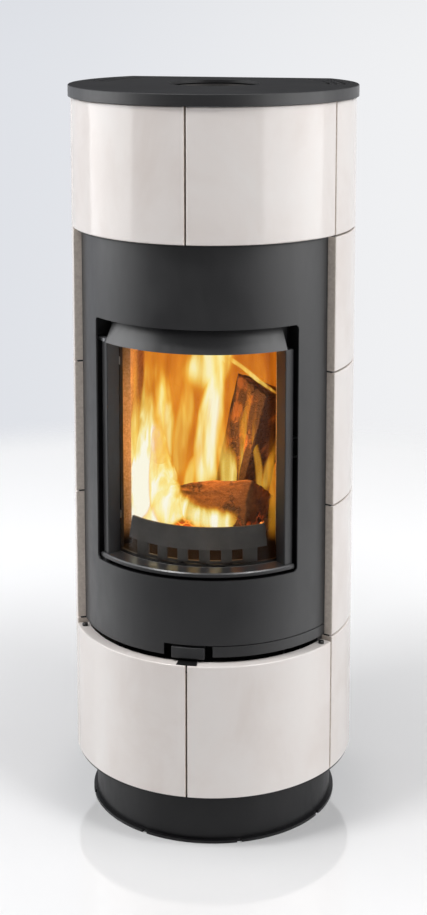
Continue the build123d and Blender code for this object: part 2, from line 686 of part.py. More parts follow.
# ---- Firebox ----
with BuildPart() as firebox_shell:
    add(flat_back_block(SHELL_R, SHELL_REAR_Y, SHELL_Z, SHELL_TOP))
    add(flat_back_block(SHELL_IN_R, SHELL_IN_Y, SHELL_FLOOR, SHELL_TOP - SHELL_WALL), mode=Mode.SUBTRACT)
    window = curved_block(
        SHELL_IN_R - CUT_OVER,
        SHELL_R + CUT_OVER,
        -SHELL_WINDOW_HALF_ANGLE,
        SHELL_WINDOW_HALF_ANGLE,
        HEARTH_TOP + SHELL_WINDOW_STEP,
        LINER_TOP,
    )
    add(window, mode=Mode.SUBTRACT)
    with BuildSketch(Plane.XY.offset(SHELL_Z)):
        Rectangle(WELL_X, WELL_Y)
    extrude(amount=SHELL_WALL, mode=Mode.SUBTRACT)
    with BuildSketch(Plane.XY.offset(SHELL_TOP)):
        with Locations((0, FLUE_Y)):
            Circle(FLUE_PIPE_R - FLUE_PIPE_WALL)
    extrude(amount=-SHELL_WALL, mode=Mode.SUBTRACT)
    for angle in BAFFLE_LEDGE_ANGLES:
        ledge = curved_block(
            SHELL_IN_R - BAFFLE_LEDGE_REACH,
            SHELL_IN_R + SHELL_WALL / 2,
            angle - BAFFLE_LEDGE_HALF_ANGLE,
            angle + BAFFLE_LEDGE_HALF_ANGLE,
            BAFFLE_LEDGE_Z,
            BAFFLE_LEDGE_Z + BAFFLE_LEDGE_T,
        )
        add(ledge)
keep(firebox_shell.part, "firebox_shell")

with BuildPart() as throat_frame:
    add(
        curved_block(
            SHELL_R,
            PANEL_BACK_R,
            -THROAT_HALF_ANGLE,
            THROAT_HALF_ANGLE,
            THROAT_Z - THROAT_WALL,
            THROAT_TOP + THROAT_WALL,
        )
    )
    hollow = curved_block(
        THROAT_SEAT_R,
        PANEL_BACK_R + CUT_OVER,
        -THROAT_INNER_ANGLE,
        THROAT_INNER_ANGLE,
        THROAT_Z,
        THROAT_TOP,
    )
    add(hollow, mode=Mode.SUBTRACT)
    window = curved_block(
        SHELL_R - CUT_OVER,
        THROAT_SEAT_R + CUT_OVER,
        -THROAT_WINDOW_HALF_ANGLE,
        THROAT_WINDOW_HALF_ANGLE,
        SILL_TOP + THROAT_LIP,
        WINDOW_TOP,
    )
    add(window, mode=Mode.SUBTRACT)
keep(throat_frame.part, "throat_frame")

with BuildPart() as hearth_stone:
    add(flat_back_block(LINING_R, LINING_REAR_Y, SHELL_FLOOR, HEARTH_TOP))
    with BuildSketch(Plane.XY.offset(SHELL_FLOOR)):
        Rectangle(WELL_X, WELL_Y)
    extrude(amount=HEARTH_T, mode=Mode.SUBTRACT)
    with BuildSketch(Plane.XY.offset(GRATE_Z)):
        Rectangle(GRATE_X + 2 * GRATE_GAP, GRATE_Y + 2 * GRATE_GAP)
    extrude(amount=GRATE_T, mode=Mode.SUBTRACT)
keep(hearth_stone.part, "hearth_stone")

for side, word in ((-1, "left"), (1, "right")):
    with BuildPart() as side_liner:
        span = sorted((side * LINER_FROM_ANGLE, side * LINER_TO_ANGLE))
        add(curved_block(LINING_R - LINER_T, LINING_R, span[0], span[1], HEARTH_TOP, LINER_TOP))
    keep(side_liner.part, f"liner_{word}")

with BuildPart() as back_liner:
    half_w = LINING_R - LINER_BACK_SIDE
    liner_y = (LINING_REAR_Y - LINER_T, LINING_REAR_Y)
    add(box_block((-half_w, half_w), liner_y, (HEARTH_TOP, LINER_TOP)))
keep(back_liner.part, "liner_back")

with BuildPart() as lower_baffle:
    add(flat_back_block(SHELL_IN_R - BAFFLE_SIDE_GAP, LINING_REAR_Y, LINER_TOP, LINER_TOP + LOWER_BAFFLE_T))
    with BuildSketch(Plane.XY.offset(LINER_TOP)):
        with Locations((0, LOWER_BAFFLE_MOUTH - LINING_R - SHELL_R / 2)):
            Rectangle(2 * SHELL_R, SHELL_R)
    extrude(amount=LOWER_BAFFLE_T, mode=Mode.SUBTRACT)
keep(lower_baffle.part, "lower_baffle")

with BuildPart() as upper_baffle:
    baffle_r = SHELL_IN_R - BAFFLE_SIDE_GAP
    baffle_rear_y = SHELL_IN_Y - UPPER_BAFFLE_MOUTH
    add(flat_back_block(baffle_r, baffle_rear_y, UPPER_BAFFLE_Z, UPPER_BAFFLE_Z + UPPER_BAFFLE_T))
keep(upper_baffle.part, "upper_baffle")

with BuildPart() as log_guard:
    guard_in_r = LINING_R - GUARD_T
    guard_top = HEARTH_TOP + GUARD_WALL_H
    add(curved_block(guard_in_r, LINING_R, -GUARD_HALF_ANGLE, GUARD_HALF_ANGLE, HEARTH_TOP, guard_top))
    for hole in range(GUARD_HOLES):
        centre = (hole - (GUARD_HOLES - 1) / 2) * GUARD_HOLE_ANGLE
        half = arc_angle(GUARD_HOLE / 2, LINING_R)
        hole_z = HEARTH_TOP + GUARD_HOLE_Z
        cutter = curved_block(
            guard_in_r - CUT_OVER,
            LINING_R + CUT_OVER,
            centre - half,
            centre + half,
            hole_z,
            hole_z + GUARD_HOLE,
        )
        add(cutter, mode=Mode.SUBTRACT)
    band_z = HEARTH_TOP + GUARD_BAND_Z
    band_top = band_z + GUARD_BAND_H
    band_r = LINING_R + GUARD_BAND_OUT
    band = turned_block(
        (
            (band_r - GUARD_T, band_z),
            (band_r, band_z),
            (band_r - GUARD_BAND_LEAN, band_top),
            (band_r - GUARD_BAND_LEAN - GUARD_T, band_top),
        ),
        -GUARD_BAND_HALF_ANGLE,
        GUARD_BAND_HALF_ANGLE,
    )
    add(band)
keep(log_guard.part, "log_guard")

# ---- Grate and ash ----
with BuildPart() as grate:
    with BuildSketch(Plane.XY.offset(GRATE_Z)):
        Rectangle(GRATE_X, GRATE_Y)
        with GridLocations(GRATE_SLOT_PITCH, GRATE_Y, GRATE_SLOTS, 1):
            SlotOverall(GRATE_Y - 2 * GRATE_FRAME, GRATE_SLOT_W, rotation=90, mode=Mode.SUBTRACT)
    extrude(amount=GRATE_T)
keep(grate.part, "grate")

with BuildPart() as ash_pan:
    pan_x = WELL_X - 2 * ASH_PAN_GAP
    pan_y = WELL_Y - 2 * ASH_PAN_GAP
    with BuildSketch(Plane.XY.offset(ASH_PAN_Z)):
        Rectangle(pan_x, pan_y)
    extrude(amount=ASH_PAN_H)
    with BuildSketch(Plane.XY.offset(ASH_PAN_Z + ASH_PAN_WALL)):
        Rectangle(pan_x - 2 * ASH_PAN_WALL, pan_y - 2 * ASH_PAN_WALL)
    extrude(amount=ASH_PAN_H, mode=Mode.SUBTRACT)
keep(ash_pan.part, "ash_pan")

with BuildPart() as ash_box:
    with BuildSketch(Plane.XY.offset(AIR_BOX_TOP)):
        Rectangle(ASH_IN_X + 2 * ASH_BOX_WALL, ASH_IN_Y + 2 * ASH_BOX_WALL)
        Rectangle(ASH_IN_X, ASH_IN_Y, mode=Mode.SUBTRACT)
    extrude(amount=SHELL_Z - AIR_BOX_TOP)
    with BuildSketch(Plane.XY.offset(ASH_FLOOR_Z)):
        Rectangle(ASH_IN_X, ASH_IN_Y)
        with GridLocations(ASH_AIR_SLOT_L, ASH_IN_Y - ASH_AIR_SLOT_W - 2 * ASH_AIR_SLOT_EDGE, 1, 2):
            Rectangle(ASH_AIR_SLOT_L, ASH_AIR_SLOT_W, mode=Mode.SUBTRACT)
    extrude(amount=ASH_BOX_WALL)
    arm_slot = LEVER_W / 2 + ASH_ARM_SLOT_SIDE
    front_wall_y = -ASH_IN_Y / 2
    slot_block = box_block(
        (-arm_slot, arm_slot), (front_wall_y - 2 * ASH_BOX_WALL, front_wall_y), (AIR_BOX_TOP, ASH_FLOOR_Z)
    )
    add(slot_block, mode=Mode.SUBTRACT)
keep(ash_box.part, "ash_box")

# ---- Air ----
with BuildPart() as air_box:
    add(
        box_block(
            (-AIR_BOX_HALF_X, AIR_BOX_HALF_X), (AIR_BOX_FRONT_Y, AIR_BOX_REAR_Y), (AIR_BOX_Z, AIR_BOX_TOP)
        )
    )
    hollow = box_block(
        (-AIR_BOX_HALF_X + AIR_BOX_WALL, AIR_BOX_HALF_X - AIR_BOX_WALL),
        (AIR_BOX_FRONT_Y + AIR_BOX_WALL, AIR_BOX_REAR_Y - AIR_BOX_WALL),
        (AIR_BOX_Z + AIR_BOX_WALL, AIR_BOX_TOP - AIR_BOX_WALL),
    )
    add(hollow, mode=Mode.SUBTRACT)
    with BuildSketch(Plane.XY.offset(AIR_BOX_TOP)):
        with PolarLocations(PORT_PLACE_R, PORT_COUNT, start_angle=180 / PORT_COUNT):
            Circle(PORT_R)
    extrude(amount=-AIR_BOX_WALL, mode=Mode.SUBTRACT)
    with BuildSketch(Plane.XY.offset(AIR_BOX_TOP)):
        Circle(PIVOT_R)
    extrude(amount=LEVER_Z + LEVER_T - AIR_BOX_TOP)
    with BuildSketch(Plane.XZ.offset(-AIR_BOX_REAR_Y)):
        with Locations((0, SPIGOT_Z)):
            Circle(SPIGOT_NECK_R - SPIGOT_WALL)
    extrude(amount=AIR_BOX_WALL, mode=Mode.SUBTRACT)
keep(air_box.part, "air_box")

with BuildPart() as air_inlet_spigot:
    flange_y = REAR_PANEL_OUT_Y + SPIGOT_FLANGE_T
    with BuildSketch(Plane.XZ.offset(-AIR_BOX_REAR_Y)):
        with Locations((0, SPIGOT_Z)):
            Circle(SPIGOT_NECK_R)
    extrude(amount=AIR_BOX_REAR_Y - REAR_PANEL_OUT_Y)
    with BuildSketch(Plane.XZ.offset(-REAR_PANEL_OUT_Y)):
        with Locations((0, SPIGOT_Z)):
            Circle(SPIGOT_FLANGE_R)
    extrude(amount=-SPIGOT_FLANGE_T)
    with BuildSketch(Plane.XZ.offset(-flange_y)):
        with Locations((0, SPIGOT_Z)):
            Circle(SPIGOT_R)
    extrude(amount=-SPIGOT_L)
    with BuildSketch(Plane.XZ.offset(-AIR_BOX_REAR_Y)):
        with Locations((0, SPIGOT_Z)):
            Circle(SPIGOT_NECK_R - SPIGOT_WALL)
    extrude(amount=AIR_BOX_REAR_Y - flange_y - SPIGOT_L, mode=Mode.SUBTRACT)
keep(air_inlet_spigot.part, "air_inlet_spigot")

with BuildPart() as air_shutter:
    with BuildSketch(Plane.XY.offset(SHUTTER_Z)):
        Circle(SHUTTER_R)
        Circle(PIVOT_R + PIVOT_GAP, mode=Mode.SUBTRACT)
        with PolarLocations(PORT_PLACE_R, PORT_COUNT, start_angle=180 / PORT_COUNT):
            Circle(PORT_R, mode=Mode.SUBTRACT)
    extrude(amount=SHUTTER_T)
keep(air_shutter.part, "air_shutter")

with BuildPart() as air_lever:
    with BuildSketch(Plane.XY.offset(LEVER_Z)):
        Circle(LEVER_HUB_R)
        with Locations((0, -LEVER_DROP_R / 2)):
            Rectangle(LEVER_W, LEVER_DROP_R)
        Circle(PIVOT_R + PIVOT_GAP, mode=Mode.SUBTRACT)
    extrude(amount=LEVER_T)
    drop_y = (-LEVER_DROP_R, -LEVER_DROP_R + LEVER_T)
    add(box_block((-LEVER_W / 2, LEVER_W / 2), drop_y, (TAB_Z, LEVER_Z + LEVER_T)))
    with BuildPart(mode=Mode.PRIVATE) as tab:
        tab_r = PANEL_R + TAB_PROUD
        add(
            curved_block(
                LEVER_DROP_R - LEVER_T, tab_r, -TAB_HALF_ANGLE, TAB_HALF_ANGLE, TAB_Z, TAB_Z + TAB_H
            )
        )
        face = tab.faces().filter_by(GeomType.CYLINDER).sort_by(SortBy.AREA)[-1]
        fillet(face.edges(), radius=TAB_EDGE_R)
    add(tab.part)
keep(air_lever.part, "air_lever")

# ---- Flue ----
COLLAR_TOP = HEIGHT - FLUE_COLLAR_SINK
PIPE_TOP = COLLAR_TOP - FLUE_COLLAR_BORE_L - FLUE_COLLAR_LIP
COLLAR_BORE_R = FLUE_PIPE_R + FLUE_SLIP
COLLAR_OUT_R = COLLAR_BORE_R + FLUE_COLLAR_WALL
with BuildPart() as inner_flue_pipe:
    with BuildSketch(Plane.XY.offset(SHELL_TOP)):
        with Locations((0, FLUE_Y)):
            Circle(FLUE_PIPE_R)
            Circle(FLUE_PIPE_R - FLUE_PIPE_WALL, mode=Mode.SUBTRACT)
    extrude(amount=PIPE_TOP - SHELL_TOP)
keep(inner_flue_pipe.part, "inner_flue_pipe")

with BuildPart() as flue_collar:
    with BuildSketch(Plane.XY.offset(PIPE_TOP - FLUE_COLLAR_SLEEVE_L)):
        with Locations((0, FLUE_Y)):
            Circle(COLLAR_OUT_R)
            Circle(FLUE_PIPE_R + SEAT_GAP, mode=Mode.SUBTRACT)
    extrude(amount=FLUE_COLLAR_SLEEVE_L)
    with BuildSketch(Plane.XY.offset(PIPE_TOP)):
        with Locations((0, FLUE_Y)):
            Circle(COLLAR_OUT_R)
            Circle(FLUE_PIPE_R - FLUE_PIPE_WALL, mode=Mode.SUBTRACT)
    extrude(amount=FLUE_COLLAR_LIP)
    with BuildSketch(Plane.XY.offset(PIPE_TOP + FLUE_COLLAR_LIP)):
        with Locations((0, FLUE_Y)):
            Circle(COLLAR_OUT_R)
            Circle(COLLAR_BORE_R, mode=Mode.SUBTRACT)
    extrude(amount=FLUE_COLLAR_BORE_L)
keep(flue_collar.part, "flue_collar")

# ---- Top plate ----
vent_arcs = []
for side in (-1, 1):
    for inset in VENT_INSETS:
        radius = TILE_R - inset
        vent_arcs.append(
            ThreePointArc(
                polar(radius, side * VENT_FROM_ANGLE),
                polar(radius, side * (VENT_FROM_ANGLE + VENT_ARC_ANGLE / 2)),
                polar(radius, side * (VENT_FROM_ANGLE + VENT_ARC_ANGLE)),
            )
        )

with BuildPart() as top_plate:
    add(flat_back_block(TOP_R, TOP_REAR_Y, RIM_UNDERSIDE, HEIGHT))
    chamfer(top_plate.faces().sort_by(Axis.Z)[-1].edges(), length=TOP_EDGE)
    inside = flat_back_block(TOP_R - TOP_RIM_W, TOP_REAR_Y - TOP_RIM_W, RIM_UNDERSIDE, SHEET_UNDERSIDE)
    add(inside, mode=Mode.SUBTRACT)
    with BuildSketch(Plane.XY.offset(SHEET_UNDERSIDE)):
        with Locations((0, FLUE_Y)):
            Circle(COLLAR_OUT_R + FLUE_HOLE_GAP)
        for arc in vent_arcs:
            SlotArc(arc, VENT_W)
    extrude(amount=TOP_SHEET_T, mode=Mode.SUBTRACT)
keep(top_plate.part, "top_plate")

# ---- Back ----
with BuildPart() as rear_panel:
    with BuildSketch(Plane.XZ.offset(-REAR_PANEL_IN_Y)):
        with Locations((0, REAR_PANEL_MID_Z)):
            Rectangle(2 * REAR_PANEL_HALF_W, REAR_PANEL_TOP - TILE_BASE_Z)
        with Locations((0, SPIGOT_Z)):
            Circle(SPIGOT_NECK_R + SPIGOT_HOLE_GAP, mode=Mode.SUBTRACT)
        for vent_z in (TILE_BASE_Z + REAR_VENT_MARGIN, REAR_PANEL_TOP - REAR_VENT_MARGIN):
            with Locations((0, vent_z)):
                with GridLocations(REAR_VENT_PITCH_X, REAR_VENT_PITCH_Z, REAR_VENT_COLUMNS, REAR_VENT_ROWS):
                    SlotOverall(REAR_VENT_L, REAR_VENT_W, mode=Mode.SUBTRACT)
        with Locations((0, REAR_PANEL_MID_Z)):
            with GridLocations(2 * REAR_SCREW_X, REAR_SCREW_PITCH, 2, REAR_SCREW_ROWS):
                Circle(REAR_SCREW_R, mode=Mode.SUBTRACT)
    extrude(amount=-REAR_PANEL_T)
keep(rear_panel.part, "rear_panel")

with BuildPart() as rear_panel_screws:
    for radius, length in ((REAR_SCREW_R, REAR_SCREW_L), (REAR_SCREW_HEAD_R, -REAR_SCREW_HEAD_H)):
        with BuildSketch(Plane.XZ.offset(-REAR_PANEL_OUT_Y)):
            with Locations((0, REAR_PANEL_MID_Z)):
                with GridLocations(2 * REAR_SCREW_X, REAR_SCREW_PITCH, 2, REAR_SCREW_ROWS):
                    Circle(radius)
        extrude(amount=length)
keep(rear_panel_screws.part, "rear_panel_screws")

# ---- Door ----
HINGE_X, HINGE_Y = polar(HINGE_R, HINGE_ANGLE)
UPPER_PIN_Z = STILE_TOP - HINGE_PIN_L
LOWER_PIN_TOP = DOOR_Z + HINGE_PIN_L

with BuildPart() as door_frame:
    add(curved_block(DOOR_BACK_R, DOOR_FACE_R, -DOOR_HALF_ANGLE, DOOR_HALF_ANGLE, SILL_TOP, DOOR_TOP))
    above_stiles = curved_block(
        RAIL_FRONT_R,
        DOOR_FACE_R + CUT_OVER,
        -DOOR_HALF_ANGLE - CUT_OVER,
        DOOR_HALF_ANGLE + CUT_OVER,
        STILE_TOP,
        DOOR_TOP + CUT_OVER,
    )
    add(above_stiles, mode=Mode.SUBTRACT)
    window = curved_block(
        DOOR_BACK_R - CUT_OVER,
        DOOR_FACE_R + CUT_OVER,
        -STILE_INNER_ANGLE,
        STILE_INNER_ANGLE,
        SILL_TOP - CUT_OVER,
        WINDOW_TOP,
    )
    add(window, mode=Mode.SUBTRACT)
    uprights = door_frame.edges().filter_by(Axis.Z)
    front_corners = uprights.filter_by(lambda edge: on_front(edge, DOOR_FACE_R))
    chamfer(front_corners, length=STILE_EDGE)
    with BuildSketch(Plane.XY.offset(STILE_TOP)):
        with Locations((HINGE_X, HINGE_Y)):
            Circle(HINGE_PIN_R + HINGE_PIN_GAP)
    extrude(amount=-HINGE_PIN_L - CUT_OVER, mode=Mode.SUBTRACT)
    with BuildSketch(Plane.XY.offset(SILL_TOP)):
        with Locations((HINGE_X, HINGE_Y)):
            Circle(HINGE_PIN_R + HINGE_PIN_GAP)
    extrude(amount=LOWER_PIN_TOP + CUT_OVER - SILL_TOP, mode=Mode.SUBTRACT)
keep(door_frame.part, "door_frame")

with BuildPart() as door_sill:
    sill = turned_block(
        (
            (DOOR_BACK_R, DOOR_Z),
            (SILL_FACE_R - SILL_BEVEL, DOOR_Z),
            (SILL_FACE_R, DOOR_Z + SILL_BEVEL),
            (SILL_FACE_R, SILL_TOP - SILL_BEVEL),
            (SILL_FACE_R - SILL_BEVEL, SILL_TOP),
            (DOOR_BACK_R, SILL_TOP),
        ),
        -DOOR_HALF_ANGLE,
        DOOR_HALF_ANGLE,
    )
    add(sill)
    with BuildSketch(Plane.XY.offset(DOOR_Z)):
        with Locations((HINGE_X, HINGE_Y)):
            Circle(HINGE_PIN_R + HINGE_PIN_GAP)
    extrude(amount=SILL_H, mode=Mode.SUBTRACT)
keep(door_sill.part, "door_sill")

with BuildPart() as door_hood:
    flare_top = STILE_TOP + HOOD_FLARE_H
    hood = turned_block(
        (
            (HOOD_FACE_R - HOOD_T, STILE_TOP),
            (HOOD_FACE_R, STILE_TOP),
            (RAIL_FRONT_R + HOOD_T, flare_top),
            (RAIL_FRONT_R + HOOD_T, DOOR_TOP),
            (RAIL_FRONT_R, DOOR_TOP),
            (RAIL_FRONT_R, flare_top - 2 * HOOD_T),
        ),
        -HOOD_HALF_ANGLE,
        HOOD_HALF_ANGLE,
    )
    add(hood)
keep(door_hood.part, "door_hood")

with BuildPart() as door_glass:
    add(curved_block(GLASS_IN_R, GASKET_IN_R, -GLASS_HALF_ANGLE, GLASS_HALF_ANGLE, GLASS_Z, GLASS_TOP))
keep(door_glass.part, "door_glass")

with BuildPart() as glass_gasket:
    add(curved_block(GASKET_IN_R, DOOR_BACK_R, -GLASS_HALF_ANGLE, GLASS_HALF_ANGLE, GLASS_Z, GLASS_TOP))
    gasket_inner = GLASS_HALF_ANGLE - GASKET_W_ANGLE
    window = curved_block(
        GASKET_IN_R - CUT_OVER,
        DOOR_BACK_R + CUT_OVER,
        -gasket_inner,
        gasket_inner,
        SILL_TOP,
        WINDOW_TOP + CUT_OVER,
    )
    add(window, mode=Mode.SUBTRACT)
keep(glass_gasket.part, "glass_gasket")

with BuildPart() as door_rope_seal:
    seal_r = DOOR_BACK_R - SEAL_T
    add(
        curved_block(
            seal_r, DOOR_BACK_R, -SEAL_HALF_ANGLE, SEAL_HALF_ANGLE, DOOR_Z + SEAT_GAP, DOOR_TOP - SEAT_GAP
        )
    )
    seal_inner = SEAL_HALF_ANGLE - SEAL_W_ANGLE
    window = curved_block(
        seal_r - CUT_OVER,
        DOOR_BACK_R + CUT_OVER,
        -seal_inner,
        seal_inner,
        DOOR_Z + SEAT_GAP + SEAL_W,
        DOOR_TOP - SEAT_GAP - SEAL_TOP_W,
    )
    add(window, mode=Mode.SUBTRACT)
keep(door_rope_seal.part, "door_rope_seal")

with BuildPart() as glass_clips:
    for side in (-1, 1):
        for height in (GLASS_Z + RETAINER_END_GAP, GLASS_TOP - RETAINER_END_GAP - RETAINER_H):
            plate = sorted((side * RETAINER_FROM_ANGLE, side * RETAINER_TO_ANGLE))
            foot = sorted((side * RETAINER_FOOT_ANGLE, side * RETAINER_TO_ANGLE))
            top = height + RETAINER_H
            add(curved_block(GLASS_IN_R - RETAINER_T, GLASS_IN_R, plate[0], plate[1], height, top))
            add(curved_block(GLASS_IN_R, DOOR_BACK_R, foot[0], foot[1], height, top))
keep(glass_clips.part, "glass_clips")

# ---- Hinge and catch ----
LUG_FROM_R = HINGE_R - HINGE_LUG_W / 2
LUG_TO_R = HINGE_R + HINGE_LUG_W / 2
LOWER_LUG_TOP = DOOR_Z - HINGE_STAND_OFF
UPPER_LUG_Z = STILE_TOP + HINGE_STAND_OFF
with BuildPart() as hinge_brackets:
    for z_from, z_to in ((THROAT_Z, LOWER_LUG_TOP), (UPPER_LUG_Z, UPPER_LUG_Z + HINGE_LUG_T)):
        add(curved_block(LUG_FROM_R, LUG_TO_R, -THROAT_INNER_ANGLE, HINGE_ANGLE, z_from, z_to))
        with BuildSketch(Plane.XY.offset(z_from)):
            with Locations((HINGE_X, HINGE_Y)):
                Circle(HINGE_LUG_W / 2)
        extrude(amount=z_to - z_from)
        with BuildSketch(Plane.XY.offset(z_from)):
            with Locations((HINGE_X, HINGE_Y)):
                Circle(HINGE_PIN_R)
        extrude(amount=z_to - z_from, mode=Mode.SUBTRACT)
keep(hinge_brackets.part, "hinge_brackets")

with BuildPart() as hinge_pins:
    for z_from, z_to in ((THROAT_Z, LOWER_PIN_TOP), (UPPER_PIN_Z, UPPER_LUG_Z + HINGE_LUG_T)):
        with BuildSketch(Plane.XY.offset(z_from)):
            with Locations((HINGE_X, HINGE_Y)):
                Circle(HINGE_PIN_R)
        extrude(amount=z_to - z_from)
keep(hinge_pins.part, "hinge_pins")

STRIKER_TOP = STRIKER_Z + STRIKER_H
with BuildPart() as door_striker:
    add(
        curved_block(
            STRIKER_R_FROM, STRIKER_R_TO, DOOR_HALF_ANGLE, STRIKER_TO_ANGLE, STRIKER_Z, STRIKER_TOP
        )
    )
keep(door_striker.part, "door_striker")

with BuildPart() as catch_fork:
    fork_z = STRIKER_Z - CATCH_GAP - CATCH_LEAF
    fork_top = STRIKER_TOP + CATCH_GAP + CATCH_LEAF
    fork_from_r = STRIKER_R_FROM - CATCH_DEPTH
    add(curved_block(fork_from_r, STRIKER_R_TO, CATCH_FROM_ANGLE, THROAT_INNER_ANGLE, fork_z, fork_top))
    mouth = curved_block(
        fork_from_r + CATCH_LEAF,
        STRIKER_R_TO + CUT_OVER,
        CATCH_FROM_ANGLE - CUT_OVER,
        THROAT_INNER_ANGLE,
        STRIKER_Z - CATCH_GAP,
        STRIKER_TOP + CATCH_GAP,
    )
    add(mouth, mode=Mode.SUBTRACT)
keep(catch_fork.part, "catch_fork")
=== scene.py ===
import math

import bpy
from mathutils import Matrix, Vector, noise


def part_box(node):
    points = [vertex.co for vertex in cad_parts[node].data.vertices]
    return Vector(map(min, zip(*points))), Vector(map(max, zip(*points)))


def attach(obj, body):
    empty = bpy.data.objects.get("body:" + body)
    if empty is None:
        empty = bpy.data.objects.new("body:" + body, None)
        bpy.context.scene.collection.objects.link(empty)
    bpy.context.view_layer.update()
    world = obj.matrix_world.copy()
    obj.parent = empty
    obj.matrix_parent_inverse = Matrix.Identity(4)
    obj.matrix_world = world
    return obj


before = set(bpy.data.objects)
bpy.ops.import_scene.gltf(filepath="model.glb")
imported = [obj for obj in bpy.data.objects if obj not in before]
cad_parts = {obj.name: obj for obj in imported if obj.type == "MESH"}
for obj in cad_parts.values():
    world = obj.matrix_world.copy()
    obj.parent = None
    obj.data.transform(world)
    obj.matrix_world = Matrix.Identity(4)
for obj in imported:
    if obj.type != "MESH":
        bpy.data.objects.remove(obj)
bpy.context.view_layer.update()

# ---- Shared sizes, in metres ----
HEARTH_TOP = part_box("hearth_stone")[1].z
BAFFLE_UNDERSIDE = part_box("lower_baffle")[0].z
GRATE_LOW, GRATE_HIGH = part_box("grate")
SPRAY_GRAIN = 0.00003
# Heights between which the lining's foot darkens into painted shade.
LINING_SHADE_TOP = HEARTH_TOP + 0.05
LINING_SHADE_FULL = HEARTH_TOP + 0.004
GLASS_HAZE_TOP = 0.6
GLASS_HAZE_FOOT = 0.49
EMBER_MARGIN = 0.012
GLOW_FOOT = 0.004
GLOW_HEADROOM = 0.006
GLOW_HALF_WIDTH = 0.142
GLOW_FADE = 0.006
GLOW_Y = 0.088
FLAME_HEADROOM = 0.004

# ---- Flame colours and cover along their heat ----
FLAME_PLACE = "flame_place"
FLAME_COLOURS = [
    (0.0, (0.8, 0.25, 0.012)),
    (0.3, (0.95, 0.42, 0.03)),
    (0.55, (1.0, 0.7, 0.13)),
    (0.8, (1.0, 0.9, 0.4)),
    (1.0, (1.0, 0.99, 0.84)),
]
FLAME_COVER = [
    (0.0, (0.0,) * 3),
    (0.2, (0.2,) * 3),
    (0.45, (0.6,) * 3),
    (0.7, (0.9,) * 3),
    (1.0, (1.0,) * 3),
]


# ---- Node helpers ----
def add_node(tree, kind, inputs=None, **settings):
    """New shader node, with its settings, values and links."""
    made = tree.nodes.new(kind)
    for name, value in settings.items():
        setattr(made, name, value)
    for key, value in (inputs or {}).items():
        if isinstance(value, bpy.types.NodeSocket):
            tree.links.new(value, made.inputs[key])
        else:
            made.inputs[key].default_value = value
    return made


def calc(tree, operation, first, second=0.0):
    """Output of a maths node."""
    return add_node(tree, "ShaderNodeMath", {0: first, 1: second}, operation=operation).outputs[0]


def place(tree, stretch=(1, 1, 1), shift=(0, 0, 0)):
    """Object coordinates in metres, stretched and shifted."""
    coords = add_node(tree, "ShaderNodeTexCoord").outputs["Object"]
    mapping = add_node(tree, "ShaderNodeMapping", {"Vector": coords, "Scale": stretch, "Location": shift})
    return mapping.outputs[0]


def parts(tree, vector):
    """X, Y and Z of a vector."""
    return add_node(tree, "ShaderNodeSeparateXYZ", {0: vector}).outputs


def cloud(tree, where, scale, detail=3.0, rough=0.5, twist=0.0):
    """Noise from 0 to 1."""
    values = {"Vector": where, "Scale": scale, "Detail": detail, "Roughness": rough, "Distortion": twist}
    return add_node(tree, "ShaderNodeTexNoise", values).outputs["Fac"]


def span(tree, value, low, high, to_low=0.0, to_high=1.0):
    """Value carried from one range to another, clamped and eased."""
    ranges = {"Value": value, 1: low, 2: high, 3: to_low, 4: to_high}
    return add_node(tree, "ShaderNodeMapRange", ranges, interpolation_type="SMOOTHSTEP").outputs[0]


def ramp(tree, value, stops):
    """Colours along a value."""
    made = add_node(tree, "ShaderNodeValToRGB", {0: value})
    elements = made.color_ramp.elements
    while len(elements) < len(stops):
        elements.new(1.0)
    for element, (at, colour) in zip(elements, stops):
        element.position = at
        element.color = (*colour, 1.0)
    return made.outputs[0]


def blend(tree, amount, first, second):
    """Mix of two colours."""
    made = add_node(tree, "ShaderNodeMix", data_type="RGBA")
    for socket, value in ((0, amount), (6, first), (7, second)):
        if isinstance(value, bpy.types.NodeSocket):
            tree.links.new(value, made.inputs[socket])
        else:
            made.inputs[socket].default_value = value if socket == 0 else (*value, 1.0)
    return made.outputs[2]


def bump(tree, height, depth, under=None):
    """Normal pushed by a height in metres."""
    values = {"Height": height, "Distance": depth, "Strength": 1.0}
    if under is not None:
        values["Normal"] = under
    return add_node(tree, "ShaderNodeBump", values).outputs[0]


def shader(name, **fixed):
    """New material with its main shader's fixed values set."""
    made = bpy.data.materials.new(name)
    made.use_nodes = True
    main = made.node_tree.nodes["Principled BSDF"]
    for key, value in fixed.items():
        main.inputs[key.replace("_", " ")].default_value = value
    return made, made.node_tree, main


def join(tree, main, **sockets):
    """Links outputs to the main shader's inputs."""
    for key, value in sockets.items():
        tree.links.new(value, main.inputs[key.replace("_", " ")])


def outwardness(tree):
    """How far a surface faces away from the stove's axis, from -1 to 1."""
    coords = add_node(tree, "ShaderNodeTexCoord")
    flat = add_node(
        tree, "ShaderNodeVectorMath", {0: coords.outputs["Object"], 1: (1, 1, 0)}, operation="MULTIPLY"
    )
    outward = add_node(tree, "ShaderNodeVectorMath", {0: flat.outputs[0]}, operation="NORMALIZE")
    facing = add_node(
        tree,
        "ShaderNodeVectorMath",
        {0: outward.outputs[0], 1: coords.outputs["Normal"]},
        operation="DOT_PRODUCT",
    )
    return facing.outputs["Value"]


def upwardness(tree):
    """How far a surface faces up, from -1 to 1."""
    normal = add_node(tree, "ShaderNodeTexCoord").outputs["Normal"]
    return parts(tree, normal)["Z"]


